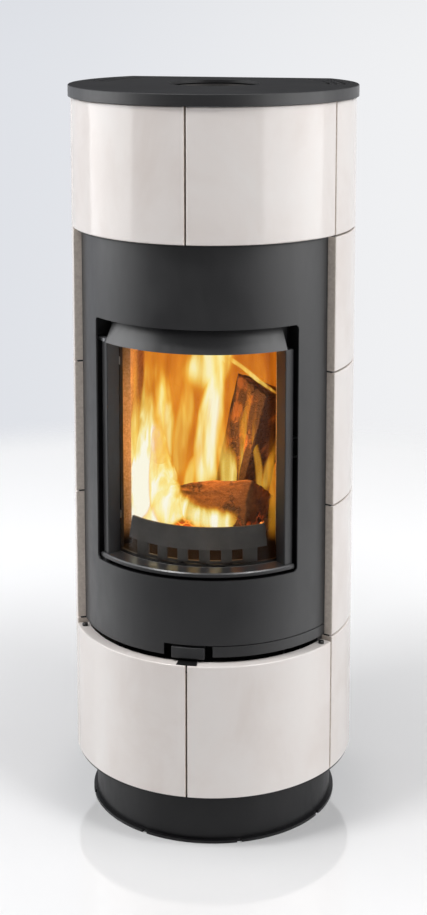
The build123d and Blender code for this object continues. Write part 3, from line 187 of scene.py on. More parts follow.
# ---- Materials ----
def glaze():
    """Cream glaze on the tiles' faces and tops and bare clay on their sides and backs."""
    made, tree, main = shader("cream_glaze", IOR=1.5)
    face = span(tree, calc(tree, "MAXIMUM", outwardness(tree), upwardness(tree)), 0.35, 0.8)
    wide = cloud(tree, place(tree, (1, 1, 0.6)), 9.0, 4.0, 0.55, 0.4)
    fine = cloud(tree, place(tree), 160.0, 3.0, 0.6)
    flecks = span(tree, cloud(tree, place(tree, shift=(3, 1, 7)), 620.0, 1.0), 0.72, 0.8)
    cream = ramp(
        tree,
        wide,
        [(0.3, (0.735, 0.672, 0.635)), (0.52, (0.785, 0.735, 0.705)), (0.75, (0.8, 0.765, 0.74))],
    )
    cream = blend(tree, calc(tree, "MULTIPLY", flecks, 0.07), cream, (0.45, 0.36, 0.29))
    clay = ramp(tree, fine, [(0.3, (0.62, 0.54, 0.475)), (0.7, (0.76, 0.68, 0.6))])
    rough = blend(tree, face, (0.75,) * 3, ramp(tree, fine, [(0.3, (0.09,) * 3), (0.75, (0.14,) * 3)]))
    waves = cloud(tree, place(tree, shift=(5, 2, 1)), 26.0, 2.0, 0.5)
    normal = bump(tree, waves, 0.00022)
    normal = bump(tree, fine, 0.00003, normal)
    join(tree, main, Base_Color=blend(tree, face, clay, cream), Roughness=rough, Normal=normal)
    return made


def paint(name, dark, light, rough, shine=0.5, top_shine=None):
    """Heat-proof stove paint with a fine sprayed grain, duller on top where a top shine is given."""
    made, tree, main = shader(name, Specular_IOR_Level=shine)
    wide = cloud(tree, place(tree), 11.0, 4.0, 0.6)
    grit = cloud(tree, place(tree), 1500.0, 2.0, 0.6)
    dust = cloud(tree, place(tree, (1, 1, 0.35)), 70.0, 4.0, 0.6)
    colour = ramp(tree, wide, [(0.3, dark), (0.7, light)])
    colour = blend(tree, span(tree, grit, 0.45, 0.8, 0.0, 0.35), colour, tuple(1.6 * c for c in light))
    finish = ramp(
        tree,
        calc(tree, "MULTIPLY", calc(tree, "ADD", dust, wide), 0.5),
        [(0.35, (rough - 0.06,) * 3), (0.65, (rough + 0.07,) * 3)],
    )
    normal = bump(tree, grit, SPRAY_GRAIN)
    normal = bump(tree, wide, 0.0002, normal)
    join(tree, main, Base_Color=colour, Roughness=finish, Normal=normal)
    if top_shine is not None:
        flat = span(tree, upwardness(tree), 0.6, 0.95)
        level = calc(tree, "ADD", shine, calc(tree, "MULTIPLY", flat, top_shine - shine))
        dull = blend(tree, flat, finish, (0.92, 0.92, 0.92))
        join(tree, main, Specular_IOR_Level=level, Roughness=dull)
    return made


def iron():
    """Sand-cast iron, painted and then coloured by heat."""
    made, tree, main = shader("cast_iron", Metallic=0.35, Specular_IOR_Level=0.5)
    sand = cloud(tree, place(tree), 900.0, 4.0, 0.65)
    lumps = cloud(tree, place(tree), 120.0, 3.0, 0.6)
    heat = cloud(tree, place(tree), 14.0, 3.0, 0.6)
    colour = ramp(
        tree,
        heat,
        [(0.3, (0.045, 0.044, 0.044)), (0.6, (0.085, 0.081, 0.078)), (0.8, (0.12, 0.108, 0.1))],
    )
    ash = span(tree, calc(tree, "MULTIPLY", sand, lumps), 0.32, 0.5, 0.0, 0.5)
    colour = blend(tree, ash, colour, (0.26, 0.245, 0.23))
    rough = ramp(tree, lumps, [(0.3, (0.42,) * 3), (0.7, (0.62,) * 3)])
    normal = bump(tree, lumps, 0.0004)
    normal = bump(tree, sand, 0.00012, normal)
    join(tree, main, Base_Color=colour, Roughness=rough, Normal=normal)
    return made


def lining():
    """Pressed vermiculite board: flakes, scratches and soot, turned almost black by painted shade at and just
    above the hearth's top.
    """
    made, tree, main = shader("fire_lining", Roughness=0.9, Specular_IOR_Level=0.05)
    where = place(tree)
    flakes = add_node(tree, "ShaderNodeTexVoronoi", {"Vector": where, "Scale": 330.0, "Randomness": 1.0})
    tint = add_node(tree, "ShaderNodeSeparateColor", {0: flakes.outputs["Color"]}).outputs[0]
    colour = ramp(tree, tint, [(0.0, (0.42, 0.27, 0.13)), (0.5, (0.5, 0.33, 0.17)), (1.0, (0.58, 0.4, 0.22))])
    smoke = cloud(tree, place(tree, (1, 1, 0.5)), 9.0, 5.0, 0.6, 0.3)
    colour = blend(tree, span(tree, smoke, 0.5, 0.75, 0.0, 0.55), colour, (0.07, 0.055, 0.045))
    low = parts(tree, where)["Z"]
    # Painted shade: near the hearth's top the board is blended to almost black, standing in for the shade
    # seen through the guard's holes.
    foot_painted_shade = span(tree, low, LINING_SHADE_TOP, LINING_SHADE_FULL, 0.0, 0.99)
    colour = blend(tree, foot_painted_shade, colour, (0.004, 0.0036, 0.0034))
    scratch = cloud(tree, place(tree, (1, 1, 0.08)), 160.0, 2.0)
    height = calc(tree, "ADD", flakes.outputs["Distance"], calc(tree, "MULTIPLY", scratch, 0.7))
    join(tree, main, Base_Color=colour, Normal=bump(tree, height, 0.0005))
    return made


def bare_steel(name, tone, rough, streak):
    """Bare or zinc-coated sheet steel with a rolling grain."""
    made, tree, main = shader(name, Metallic=0.85)
    grain = cloud(tree, place(tree, streak), 420.0, 3.0, 0.6)
    blotch = cloud(tree, place(tree), 45.0, 4.0, 0.65)
    light = tuple(min(1.0, 1.35 * c) for c in tone)
    colour = ramp(tree, blotch, [(0.3, tone), (0.7, light)])
    finish = ramp(tree, grain, [(0.3, (rough - 0.08,) * 3), (0.7, (rough + 0.12,) * 3)])
    join(tree, main, Base_Color=colour, Roughness=finish, Normal=bump(tree, grain, 0.00003))
    return made


def rope():
    """Knitted glass-fibre rope, grey and a little sooty."""
    made, tree, main = shader("seal_rope", Roughness=0.95, Sheen_Weight=0.3, Specular_IOR_Level=0.2)
    strands = add_node(
        tree,
        "ShaderNodeTexWave",
        {"Vector": place(tree), "Scale": 160.0, "Distortion": 2.5, "Detail": 2.0},
        bands_direction="DIAGONAL",
    ).outputs["Fac"]
    fluff = cloud(tree, place(tree), 1300.0, 3.0, 0.7)
    mixed = calc(tree, "MULTIPLY", calc(tree, "ADD", strands, fluff), 0.5)
    colour = ramp(tree, mixed, [(0.2, (0.09, 0.085, 0.08)), (0.7, (0.34, 0.33, 0.31))])
    join(tree, main, Base_Color=colour, Normal=bump(tree, mixed, 0.0006))
    return made


def door_glass():
    """Curved ceramic glass with a faint haze near its foot."""
    made, tree, main = shader("ceramic_glass", Transmission_Weight=1.0, IOR=1.2, Specular_IOR_Level=0.1)
    low = parts(tree, place(tree))["Z"]
    haze = cloud(tree, place(tree, (1, 1, 0.5)), 22.0, 4.0, 0.6)
    near_foot = span(tree, low, GLASS_HAZE_TOP, GLASS_HAZE_FOOT)
    soot = calc(tree, "MULTIPLY", near_foot, span(tree, haze, 0.35, 0.75))
    join(
        tree,
        main,
        Base_Color=blend(tree, soot, (0.97, 0.95, 0.92), (0.84, 0.79, 0.72)),
        Roughness=span(tree, soot, 0.0, 1.0, 0.0, 0.012),
    )
    return made


def split_wood(name, charred):
    """Split beech, charred over the given share, with a glow near the embers."""
    made, tree, main = shader(name, Roughness=0.85, Specular_IOR_Level=0.25, Emission_Strength=1.4)
    along = place(tree, (0.16, 1, 1))
    grain = cloud(tree, along, 240.0, 5.0, 0.65, 0.6)
    wide = cloud(tree, place(tree), 26.0, 4.0, 0.6)
    wood = ramp(
        tree,
        grain,
        [(0.25, (0.1, 0.038, 0.012)), (0.5, (0.18, 0.075, 0.024)), (0.8, (0.28, 0.13, 0.045))],
    )
    char = span(tree, wide, 0.64 - 0.3 * charred, 0.8 - 0.3 * charred, 0.0, 0.8)
    cells = add_node(
        tree,
        "ShaderNodeTexVoronoi",
        {"Vector": place(tree, (0.6, 1, 1)), "Scale": 95.0},
        feature="DISTANCE_TO_EDGE",
    ).outputs["Distance"]
    cracks = span(tree, cells, 0.12, 0.02)
    low = parts(tree, place(tree))["Z"]
    near_embers = span(tree, low, HEARTH_TOP + 0.045, HEARTH_TOP + 0.008)
    burnt_cracks = calc(tree, "MULTIPLY", cracks, char)
    smoulder = calc(tree, "MULTIPLY", burnt_cracks, span(tree, low, HEARTH_TOP + 0.09, HEARTH_TOP))
    glow = calc(tree, "MULTIPLY", calc(tree, "ADD", smoulder, near_embers), 0.8)
    light = ramp(tree, glow, [(0.08, (0, 0, 0)), (0.45, (0.75, 0.11, 0.01)), (0.95, (1.0, 0.42, 0.06))])
    height = calc(tree, "ADD", grain, calc(tree, "MULTIPLY", cracks, calc(tree, "MULTIPLY", char, -1.2)))
    join(
        tree,
        main,
        Base_Color=blend(tree, char, wood, (0.018, 0.014, 0.012)),
        Emission_Color=light,
        Normal=bump(tree, height, 0.0012),
    )
    return made


def embers():
    """Grey ash over glowing charcoal."""
    made, tree, main = shader("embers", Roughness=0.95, Specular_IOR_Level=0.1, Emission_Strength=3.0)
    lumps = add_node(tree, "ShaderNodeTexVoronoi", {"Vector": place(tree), "Scale": 90.0}).outputs["Distance"]
    heat = cloud(tree, place(tree), 38.0, 4.0, 0.6)
    hot = calc(tree, "MULTIPLY", span(tree, heat, 0.42, 0.66), span(tree, lumps, 0.25, 0.55))
    colour = ramp(tree, lumps, [(0.1, (0.09, 0.08, 0.075)), (0.45, (0.02, 0.016, 0.014))])
    light = ramp(tree, hot, [(0.02, (0, 0, 0)), (0.4, (0.8, 0.13, 0.015)), (0.9, (1.0, 0.5, 0.1))])
    join(tree, main, Base_Color=colour, Emission_Color=light, Normal=bump(tree, lumps, 0.002))
    return made


def light_only(name):
    """Material that gives off light and reflects none."""
    return shader(
        name, Base_Color=(0, 0, 0, 1), Roughness=1.0, Specular_IOR_Level=0.0, Emission_Strength=1.0
    )


def flame():
    """Flame tongue: hot along its middle, ragged and thin at its edges and tip."""
    made, tree, main = light_only("flame")
    spot = add_node(tree, "ShaderNodeAttribute", attribute_name=FLAME_PLACE).outputs["Vector"]
    across, along, heat = parts(tree, spot)
    drift = cloud(tree, place(tree, (1, 1, 0.3)), 15.0, 3.0, 0.5, 0.6)
    threads = cloud(tree, place(tree, (1, 1, 0.12), (4, 0, 2)), 62.0, 2.0, 0.5, 0.4)
    rag = calc(tree, "SUBTRACT", drift, 0.5)
    rag = calc(tree, "ADD", rag, calc(tree, "MULTIPLY", calc(tree, "SUBTRACT", threads, 0.5), 0.3))
    loose = calc(tree, "MULTIPLY", rag, span(tree, along, 0.0, 1.0, 0.8, 1.9))
    round_off = calc(tree, "SUBTRACT", 1.0, calc(tree, "MULTIPLY", across, across))
    side = span(tree, calc(tree, "ADD", round_off, loose), 0.0, 0.95)
    left = calc(tree, "SUBTRACT", 1.0, along)
    tip = span(tree, calc(tree, "ADD", left, calc(tree, "MULTIPLY", rag, 0.7)), 0.0, 0.6)
    outer = span(tree, round_off, 0.0, 0.3)
    value = calc(tree, "MULTIPLY", heat, calc(tree, "MULTIPLY", side, outer))
    value = calc(tree, "MULTIPLY", value, calc(tree, "MULTIPLY", tip, span(tree, along, 0.0, 0.16)))
    value = calc(tree, "MULTIPLY", value, span(tree, threads, 0.3, 0.7, 0.76, 1.1))
    join(tree, main, Emission_Color=ramp(tree, value, FLAME_COLOURS), Alpha=ramp(tree, value, FLAME_COVER))
    return made


def fire_glow():
    """Curtain of orange flame and smoke behind the tongues."""
    made, tree, main = light_only("fire_glow")
    where = parts(tree, place(tree))
    billows = cloud(tree, place(tree, (1, 1, 0.4)), 11.0, 3.0, 0.5, 0.7)
    streaks = cloud(tree, place(tree, (1, 1, 0.16)), 48.0, 4.0, 0.55, 0.5)
    value = calc(tree, "ADD", calc(tree, "MULTIPLY", billows, 0.65), calc(tree, "MULTIPLY", streaks, 0.35))
    value = calc(tree, "SUBTRACT", value, span(tree, where["X"], 0.03, 0.12, 0.0, 0.07))
    light = ramp(
        tree,
        value,
        [
            (0.3, (0.3, 0.06, 0.004)),
            (0.45, (0.56, 0.145, 0.008)),
            (0.58, (0.76, 0.25, 0.018)),
            (0.75, (0.95, 0.45, 0.05)),
        ],
    )
    foot = span(tree, where["Z"], HEARTH_TOP + 0.01, HEARTH_TOP + 0.07)
    top = span(tree, where["Z"], BAFFLE_UNDERSIDE, BAFFLE_UNDERSIDE - 0.05, 0.25, 1.0)
    rim = span(tree, calc(tree, "ABSOLUTE", where["X"]), GLOW_HALF_WIDTH, GLOW_HALF_WIDTH - GLOW_FADE)
    cover = calc(tree, "MULTIPLY", calc(tree, "MULTIPLY", foot, top), calc(tree, "MULTIPLY", rim, 0.97))
    join(tree, main, Emission_Color=light, Alpha=cover)
    return made


SLOT_MATERIALS = {
    "tile_glaze": glaze(),
    "panel_steel": paint("panel_paint", (0.011, 0.011, 0.012), (0.015, 0.015, 0.016), 0.42, shine=0.8),
    "top_steel": paint(
        "top_paint", (0.013, 0.013, 0.014), (0.019, 0.019, 0.02), 0.42, shine=0.7, top_shine=0.12
    ),
    "plinth_steel": paint("plinth_paint", (0.007, 0.007, 0.008), (0.011, 0.011, 0.012), 0.42, shine=0.3),
    "door_steel": paint("door_paint", (0.013, 0.013, 0.014), (0.02, 0.02, 0.021), 0.36, shine=0.9),
    "door_glass": door_glass(),
    "rope": rope(),
    "frame_steel": paint("frame_paint", (0.012, 0.012, 0.012), (0.02, 0.02, 0.021), 0.55),
    "rear_steel": paint("rear_paint", (0.022, 0.023, 0.025), (0.034, 0.035, 0.037), 0.52),
    "cast_iron": iron(),
    "fire_lining": lining(),
    "plain_steel": bare_steel("zinc_steel", (0.36, 0.37, 0.38), 0.38, (1, 1, 0.05)),
    "lever_steel": paint("lever_paint", (0.02, 0.02, 0.021), (0.03, 0.03, 0.031), 0.36),
    "black_trim": paint("trim_paint", (0.006, 0.006, 0.006), (0.011, 0.011, 0.011), 0.34),
}
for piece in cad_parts.values():
    for holder in piece.material_slots:
        holder.material = SLOT_MATERIALS[holder.material.name]


# ---- Pieces of the fire ----
LOG_CORNERS = 48
LOG_RINGS = 56


def new_piece(name, points, faces, material):
    """Smooth mesh object from points and faces."""
    mesh = bpy.data.meshes.new(name)
    mesh.from_pydata([tuple(point) for point in points], [], faces)
    mesh.update()
    for polygon in mesh.polygons:
        polygon.use_smooth = True
    mesh.materials.append(material)
    made = bpy.data.objects.new(name, mesh)
    bpy.context.scene.collection.objects.link(made)
    return made


def over_hearth(point):
    """Point whose height is counted from the hearth's top."""
    x, y, height = point
    return Vector((x, y, HEARTH_TOP + height))


def grid_faces(columns, rows, first=0):
    """Faces of a grid of points that were made row by row."""
    faces = []
    for row in range(rows):
        for column in range(columns):
            corner = first + row * (columns + 1) + column
            faces.append((corner, corner + 1, corner + columns + 2, corner + columns + 1))
    return faces


def log_outline(radius, open_angle, count):
    """Outline of a split log's end: two split faces and an arc of bark."""
    outline = []
    flat = count // 3
    start = Vector((math.cos(-open_angle / 2), math.sin(-open_angle / 2))) * radius
    for step in range(flat):
        outline.append(start * (step / flat))
    for step in range(count - 2 * flat):
        angle = open_angle * (step / (count - 2 * flat) - 0.5)
        outline.append(Vector((math.cos(angle), math.sin(angle))) * radius)
    stop = Vector((math.cos(open_angle / 2), math.sin(open_angle / 2))) * radius
    for step in range(flat):
        outline.append(stop * (1 - step / flat))
    return outline


def split_log(name, start, end, radius, open_angle, roll, taper, seed, charred):
    """Split log between two points over the hearth, with torn ends and a rough grain; angles in degrees."""
    start, end = over_hearth(start), over_hearth(end)
    roll = math.radians(roll)
    axis = end - start
    length = axis.length
    axis.normalize()
    across = axis.cross(Vector((0, 0, 1))).normalized()
    over = across.cross(axis)
    outline = log_outline(radius, math.radians(open_angle), LOG_CORNERS)
    centre = sum(outline, Vector((0, 0))) / len(outline)
    rings = LOG_RINGS
    points = []
    for ring in range(rings + 1):
        t = ring / rings
        size = 1 - taper * (1 - t) ** 1.3
        for corner in outline:
            local = (corner - centre) * size
            turned = Vector(
                (
                    local.x * math.cos(roll) - local.y * math.sin(roll),
                    local.x * math.sin(roll) + local.y * math.cos(roll),
                )
            )
            where = start + axis * (t * length) + across * turned.x + over * turned.y
            groove = noise.noise(Vector((t * 2.5 + seed, turned.x * 130, turned.y * 130)))
            lump = noise.noise(where * 22 + Vector((seed, 0, 0)))
            torn = noise.noise(Vector((turned.x * 90, turned.y * 90, seed + 4)))
            outward = (across * turned.x + over * turned.y).normalized()
            end_pull = torn * 0.007 * (max(0, 1 - ring / 3) - max(0, 1 - (rings - ring) / 3))
            points.append(where + outward * (groove * 0.0022 + lump * 0.004) + axis * end_pull)
    count = len(outline)
    faces = []
    for ring in range(rings):
        for step in range(count):
            after = (step + 1) % count
            low, high = ring * count, (ring + 1) * count
            faces.append((low + step, low + after, high + after, high + step))
    for ring, reverse in ((0, False), (rings, True)):
        ring_points = points[ring * count : (ring + 1) * count]
        middle = sum(ring_points, Vector()) / count
        previous = list(range(ring * count, (ring + 1) * count))
        for inset in (0.66, 0.33):
            first = len(points)
            for point in ring_points:
                spot = middle.lerp(point, inset)
                points.append(spot + axis * noise.noise(spot * 190) * 0.0025)
            for step in range(count):
                after = (step + 1) % count
                face = (previous[after], previous[step], first + step, first + after)
                faces.append(tuple(reversed(face)) if reverse else face)
            previous = list(range(first, first + count))
        points.append(middle)
        for step in range(count):
            face = (previous[(step + 1) % count], previous[step], len(points) - 1)
            faces.append(tuple(reversed(face)) if reverse else face)
    return new_piece(name, points, faces, split_wood(name + "_wood", charred))


def ember_bed(name):
    """Low heap of charcoal and ash that lies on the grate."""
    low_x, high_x = GRATE_LOW.x + EMBER_MARGIN, GRATE_HIGH.x - EMBER_MARGIN
    low_y, high_y = GRATE_LOW.y + EMBER_MARGIN, GRATE_HIGH.y - EMBER_MARGIN
    columns, rows = 90, 70
    points = []
    for row in range(rows + 1):
        for column in range(columns + 1):
            u, v = 2 * column / columns - 1, 2 * row / rows - 1
            x = low_x + (high_x - low_x) * column / columns
            y = low_y + (high_y - low_y) * row / rows
            edge = max(0.0, 1 - (u**4 + v**4))
            heap = 0.006 + 0.016 * edge * (0.6 + 0.5 * noise.noise(Vector((x * 30, y * 30, 2))))
            lumps = 0.006 * abs(noise.noise(Vector((x * 120, y * 120, 5)))) * edge
            points.append(over_hearth((x, y, (heap + lumps) * min(1.0, 6 * edge))))
    return new_piece(name, points, grid_faces(columns, rows), embers())


def glow_sheet(name, y, half_width):
    """Curved sheet for the glow behind the flames."""
    columns, rows = 30, 40
    low, high = HEARTH_TOP + GLOW_FOOT, BAFFLE_UNDERSIDE - GLOW_HEADROOM
    points = []
    for row in range(rows + 1):
        for column in range(columns + 1):
            u = 2 * column / columns - 1
            z = low + (high - low) * row / rows
            x = u * half_width
            ripple = 0.008 * noise.noise(Vector((x * 9, 3.0, z * 7)))
            points.append(Vector((x, y - 0.05 * u * u + ripple, z)))
    return new_piece(name, points, grid_faces(columns, rows), fire_glow())


def along_path(path, t):
    """Point on a smooth path through given points."""
    legs = len(path) - 1
    leg = min(int(t * legs), legs - 1)
    local = t * legs - leg
    before, start, end, after = (path[max(0, min(legs, leg + step))] for step in (-1, 0, 1, 2))
    bend = 2 * before - 5 * start + 4 * end - after
    twist = 3 * start - before - 3 * end + after
    return start + 0.5 * (local * (end - before) + local**2 * bend + local**3 * twist)


def flames(name, tongues, material):
    """Bulged tongues of flame, each with a path over the hearth, a half width, a heat and a reach."""
    columns, rows = 12, 40
    points, faces, places = [], [], []
    for path, half_width, heat, reach in tongues:
        spine = [over_hearth(point) for point in path]
        first = len(points)
        for row in range(rows + 1):
            v = row / rows
            middle = along_path(spine, v)
            middle.z = min(middle.z, BAFFLE_UNDERSIDE - FLAME_HEADROOM)
            swell = 0.35 + 0.65 * math.sin(math.pi * min(1.0, 0.18 + 0.9 * v))
            half = half_width * swell * (1 - 0.35 * v)
            rise = along_path(spine, min(1.0, v + 0.01)) - along_path(spine, max(0.0, v - 0.01))
            side = Vector((rise.z, 0, -rise.x)).normalized()
            for column in range(columns + 1):
                u = 2 * column / columns - 1
                points.append(middle + side * (u * half) + Vector((0, -0.35 * half * (1 - u * u), 0)))
                places.append((u, v * reach, heat))
        faces += grid_faces(columns, rows, first)
    made = new_piece(name, points, faces, material)
    layer = made.data.attributes.new(FLAME_PLACE, "FLOAT_VECTOR", "POINT")
    for item, values in zip(layer.data, places):
        item.vector = values
    return made


# Name, start and end over the hearth, radius, opening angle, roll, taper, noise seed and charred share.
LOGS = (
    ("fire_log_front", (-0.068, -0.012, 0.074), (0.096, -0.088, 0.082), 0.088, 76, -108, 0.82, 1.7, 0.45),
    ("fire_log_rear", (0.034, 0.053, 0.024), (0.092, 0.068, 0.262), 0.122, 95, -70, 0.25, 6.1, 0.95),
    ("fire_log_base", (-0.062, -0.034, 0.034), (0.088, -0.076, 0.024), 0.034, 150, 80, 0.1, 9.4, 0.9),
)
fuel = [split_log(*log) for log in LOGS]
fuel.append(ember_bed("fire_embers"))
for piece in fuel:
    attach(piece, "grate")

# Each tongue: its path as x, y and height over the hearth, then half width, heat and reach. The reach is the
# share of a whole flame's length that the tongue shows, so one under 1 ends before it thins out.
REAR_TONGUES = (
    (
        ((-0.05, 0.06, 0.24), (-0.02, 0.06, 0.3), (0.01, 0.06, 0.35), (0.035, 0.06, 0.385)),
        0.06,
        0.8,
        0.6,
    ),
    (
        (
            (-0.02, 0.035, 0.03), (-0.02, 0.04, 0.12), (-0.01, 0.045, 0.22),
            (0.0, 0.05, 0.3), (0.02, 0.05, 0.385),
        ),
        0.036,
        0.86,
        0.75,
    ),
    (
        ((-0.075, 0.05, 0.06), (-0.072, 0.055, 0.15), (-0.06, 0.06, 0.24), (-0.06, 0.06, 0.36)),
        0.026,
        0.5,
        0.9,
    ),
    (
        ((-0.05, 0.0, 0.04), (-0.045, 0.01, 0.1), (-0.03, 0.02, 0.15), (-0.01, 0.03, 0.24)),
        0.018,
        0.55,
        1.0,
    ),
    (
        ((0.03, 0.0, 0.05), (0.025, 0.01, 0.12), (0.012, 0.02, 0.17), (0.01, 0.03, 0.26)),
        0.026,
        0.66,
        1.0,
    ),
    (
        ((0.065, -0.01, 0.05), (0.06, 0.0, 0.11), (0.056, 0.01, 0.16), (0.046, 0.02, 0.25)),
        0.018,
        0.58,
        1.0,
    ),
)
LEFT_TONGUES = (
    (
        (
            (-0.12, -0.02, -0.06), (-0.124, 0.0, 0.06), (-0.126, 0.02, 0.17),
            (-0.12, 0.03, 0.27), (-0.128, 0.03, 0.39),
        ),
        0.06,
        1.16,
        1.0,
    ),
    (
        ((-0.1, 0.02, 0.1), (-0.098, 0.03, 0.19), (-0.105, 0.04, 0.27), (-0.1, 0.04, 0.37)),
        0.03,
        0.7,
        1.0,
    ),
    (
        (
            (0.075, -0.108, 0.05), (0.03, -0.106, 0.052), (-0.025, -0.092, 0.062),
            (-0.065, -0.055, 0.09), (-0.098, -0.01, 0.165), (-0.115, 0.01, 0.28),
        ),
        0.034,
        0.95,
        1.0,
    ),
    (
        ((-0.045, -0.09, 0.036), (-0.07, -0.07, 0.07), (-0.09, -0.04, 0.12), (-0.105, -0.01, 0.21)),
        0.044,
        0.95,
        1.0,
    ),
    (
        ((-0.13, -0.03, -0.05), (-0.1, -0.04, 0.0), (-0.085, -0.045, 0.06), (-0.1, -0.03, 0.2)),
        0.045,
        0.9,
        1.0,
    ),
    (
        ((-0.155, 0.0, 0.1), (-0.152, 0.01, 0.18), (-0.15, 0.015, 0.25), (-0.152, 0.02, 0.38)),
        0.016,
        0.7,
        1.0,
    ),
)
RIGHT_TONGUES = (
    (
        ((0.09, -0.02, 0.08), (0.088, -0.02, 0.13), (0.078, -0.015, 0.19), (0.084, -0.01, 0.27)),
        0.01,
        0.42,
        1.0,
    ),
    (
        ((0.118, -0.05, 0.0), (0.12, -0.045, 0.08), (0.112, -0.035, 0.15), (0.116, -0.03, 0.24)),
        0.014,
        0.32,
        1.0,
    ),
    (
        ((0.1, -0.03, 0.08), (0.105, -0.02, 0.13), (0.122, -0.02, 0.18), (0.13, -0.01, 0.26)),
        0.011,
        0.4,
        1.0,
    ),
    (
        ((0.135, -0.05, 0.0), (0.136, -0.045, 0.06), (0.13, -0.04, 0.12), (0.134, -0.03, 0.2)),
        0.012,
        0.25,
        1.0,
    ),
    (
        (
            (0.02, 0.0, 0.33), (0.05, 0.0, 0.312), (0.085, 0.0, 0.285),
            (0.12, 0.0, 0.262), (0.15, 0.0, 0.25),
        ),
        0.007,
        0.62,
        0.8,
    ),
    (
        ((0.06, 0.01, 0.16), (0.056, 0.01, 0.2), (0.064, 0.01, 0.25), (0.06, 0.01, 0.3)),
        0.009,
        0.4,
        1.0,
    ),
)
burning = flame()
sheets = [
    glow_sheet("fire_glow_rear", GLOW_Y, GLOW_HALF_WIDTH),
    flames("fire_flame_rear", REAR_TONGUES, burning),
    flames("fire_flame_front", LEFT_TONGUES, burning),
    flames("fire_flame_middle", RIGHT_TONGUES, burning),
]
for piece in sheets:
    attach(piece, "stove")


# ---- Floor, background, lights and camera ----
CAMERA_TURN = math.radians(10.67)
CAMERA_DISTANCE = 2.95
CAMERA_HEIGHT = 1.53
CAMERA_PITCH = math.radians(8.2)
SENSOR_MM = 36.0
PHOTO_HEIGHT_PX = 915.0
FOCAL_PX = 1651.0
CAMERA_LENS = FOCAL_PX / PHOTO_HEIGHT_PX * SENSOR_MM
CAMERA_SHIFT = -0.275
FLOOR_REACH = 3.1
FLOOR_FADE = (2.2, 2.62)
LAMP_TARGET = 0.75
FIRE_LIGHT_PLACE = (-0.02, -0.06, 0.2)
FIRE_LIGHT_POWER = 3.0
FIRE_LIGHT_COLOUR = (1.0, 0.5, 0.14)
# Name, turn in degrees, distance, height, width, length and power in watts.
LAMPS = (
    ("left_softbox", -77, 2.4, 1.6, 2.3, 2.2, 35),
    ("right_softbox", 76, 2.5, 1.6, 2.9, 2.2, 41),
    ("left_high", -48, 2.0, 3.9, 0.8, 0.8, 58),
    ("right_high", 60, 2.0, 3.9, 0.8, 0.8, 40),
)


def around(turn, distance, height):
    """Point at an angle from the front, counted to the right."""
    return Vector((distance * math.sin(turn), -distance * math.cos(turn), height))


def seen(tree, mirrored=1.0):
    """1 for the rays that show the surroundings, 0 for those that light the object."""
    path = add_node(tree, "ShaderNodeLightPath").outputs
    glossy = calc(tree, "MULTIPLY", path["Is Glossy Ray"], mirrored)
    some = calc(tree, "MAXIMUM", path["Is Camera Ray"], glossy)
    return calc(tree, "MAXIMUM", some, path["Is Transmission Ray"])


def floor():
    """Large white floor that fades out round its edge; to reflections its front half is painted dark grey as
    a stand-in for shade.
    """
    rings, steps = 24, 96
    points = [Vector((0, 0, 0))]
    faces = []
    for ring in range(1, rings + 1):
        for step in range(steps):
            points.append(around(math.tau * step / steps, FLOOR_REACH * ring / rings, 0))
    for step in range(steps):
        faces.append((0, 1 + step, 1 + (step + 1) % steps))
    for ring in range(rings - 1):
        low, high = 1 + ring * steps, 1 + (ring + 1) * steps
        for step in range(steps):
            after = (step + 1) % steps
            faces.append((low + step, high + step, high + after, low + after))
    made, tree, main = shader("white_floor", Roughness=0.08, IOR=2.0, Emission_Color=(1, 1, 1, 1))
    where = place(tree)
    distance = add_node(tree, "ShaderNodeVectorMath", {0: where}, operation="LENGTH").outputs["Value"]
    fade = span(tree, distance, *FLOOR_FADE, 1.0, 0.0)
    lift = span(tree, distance, 0.4, 1.5, 0.04, 0.34)
    mirrored = add_node(tree, "ShaderNodeLightPath").outputs["Is Glossy Ray"]
    # Painted dark reflection: to glossy rays the floor's front half turns dark grey and loses its glow,
    # standing in for a darker studio in front of the stove.
    front = span(tree, parts(tree, where)["Y"], -0.2, -0.7)
    painted_dark_reflection = calc(tree, "MULTIPLY", mirrored, front)
    join(
        tree,
        main,
        Base_Color=blend(tree, painted_dark_reflection, (0.88, 0.88, 0.883), (0.3, 0.3, 0.303)),
        Emission_Strength=calc(tree, "MULTIPLY", calc(tree, "SUBTRACT", seen(tree), painted_dark_reflection), lift),
        Alpha=fade,
    )
    return new_piece("floor", points, faces, made)


floor()

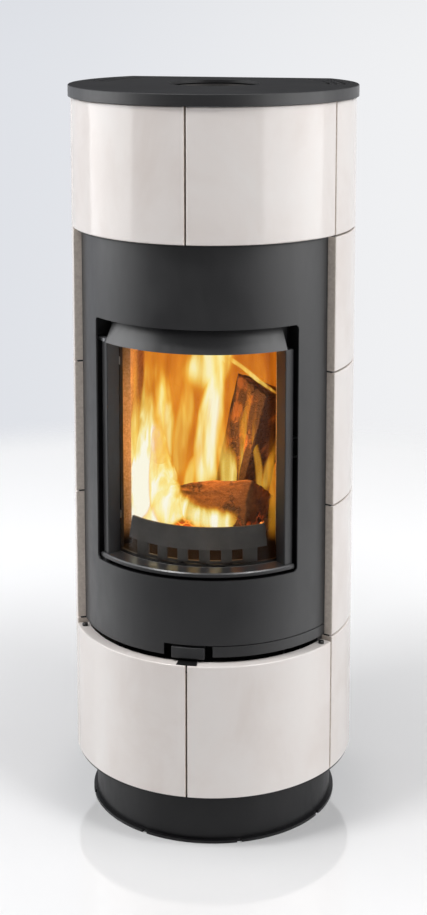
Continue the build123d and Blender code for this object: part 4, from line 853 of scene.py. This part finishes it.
world = bpy.data.worlds.new("studio")
bpy.context.scene.world = world
world.use_nodes = True
sky = world.node_tree
direction = add_node(sky, "ShaderNodeTexCoord").outputs["Generated"]
sideways, frontways, upways = parts(sky, direction)
shown = ramp(sky, span(sky, sideways, -0.36, -0.02), [(0.0, (0.735, 0.755, 0.8)), (1.0, (0.88, 0.885, 0.9))])
shown = blend(sky, span(sky, upways, -0.08, 0.1, 0.0, 0.09), shown, (0.0, 0.0, 0.0))
pale = blend(sky, seen(sky, span(sky, frontways, -0.5, 0.1)), (0.17, 0.17, 0.176), shown)
sky.links.new(pale, sky.nodes["Background"].inputs["Color"])


def softbox(name, turn, distance, height, wide, tall, power):
    """Large soft white lamp that faces the stove."""
    data = bpy.data.lights.new(name, "AREA")
    data.shape = "RECTANGLE"
    data.size, data.size_y = wide, tall
    data.energy = power
    lamp = bpy.data.objects.new(name, data)
    bpy.context.scene.collection.objects.link(lamp)
    lamp.location = around(math.radians(turn), distance, height)
    aim = Vector((0, 0, LAMP_TARGET)) - lamp.location
    lamp.rotation_mode = "QUATERNION"
    lamp.rotation_quaternion = aim.to_track_quat("-Z", "Y")
    lamp.visible_camera = False
    lamp.visible_transmission = False


for lamp_values in LAMPS:
    softbox(*lamp_values)

fire_light = bpy.data.objects.new("fire_light", bpy.data.lights.new("fire_light", "POINT"))
fire_light.data.energy = FIRE_LIGHT_POWER
fire_light.data.color = FIRE_LIGHT_COLOUR
fire_light.data.shadow_soft_size = 0.06
for ray in ("camera", "glossy", "transmission"):
    setattr(fire_light, f"visible_{ray}", False)
fire_light.location = over_hearth(FIRE_LIGHT_PLACE)
bpy.context.scene.collection.objects.link(fire_light)

lens = bpy.data.cameras.new("camera")
lens.lens = CAMERA_LENS
lens.shift_y = CAMERA_SHIFT
camera = bpy.data.objects.new("camera", lens)
bpy.context.scene.collection.objects.link(camera)
camera.location = around(CAMERA_TURN, CAMERA_DISTANCE, CAMERA_HEIGHT)
camera.rotation_euler = (math.pi / 2 - CAMERA_PITCH, 0, CAMERA_TURN)
bpy.context.scene.camera = camera
bpy.context.scene.view_settings.view_transform = "Standard"
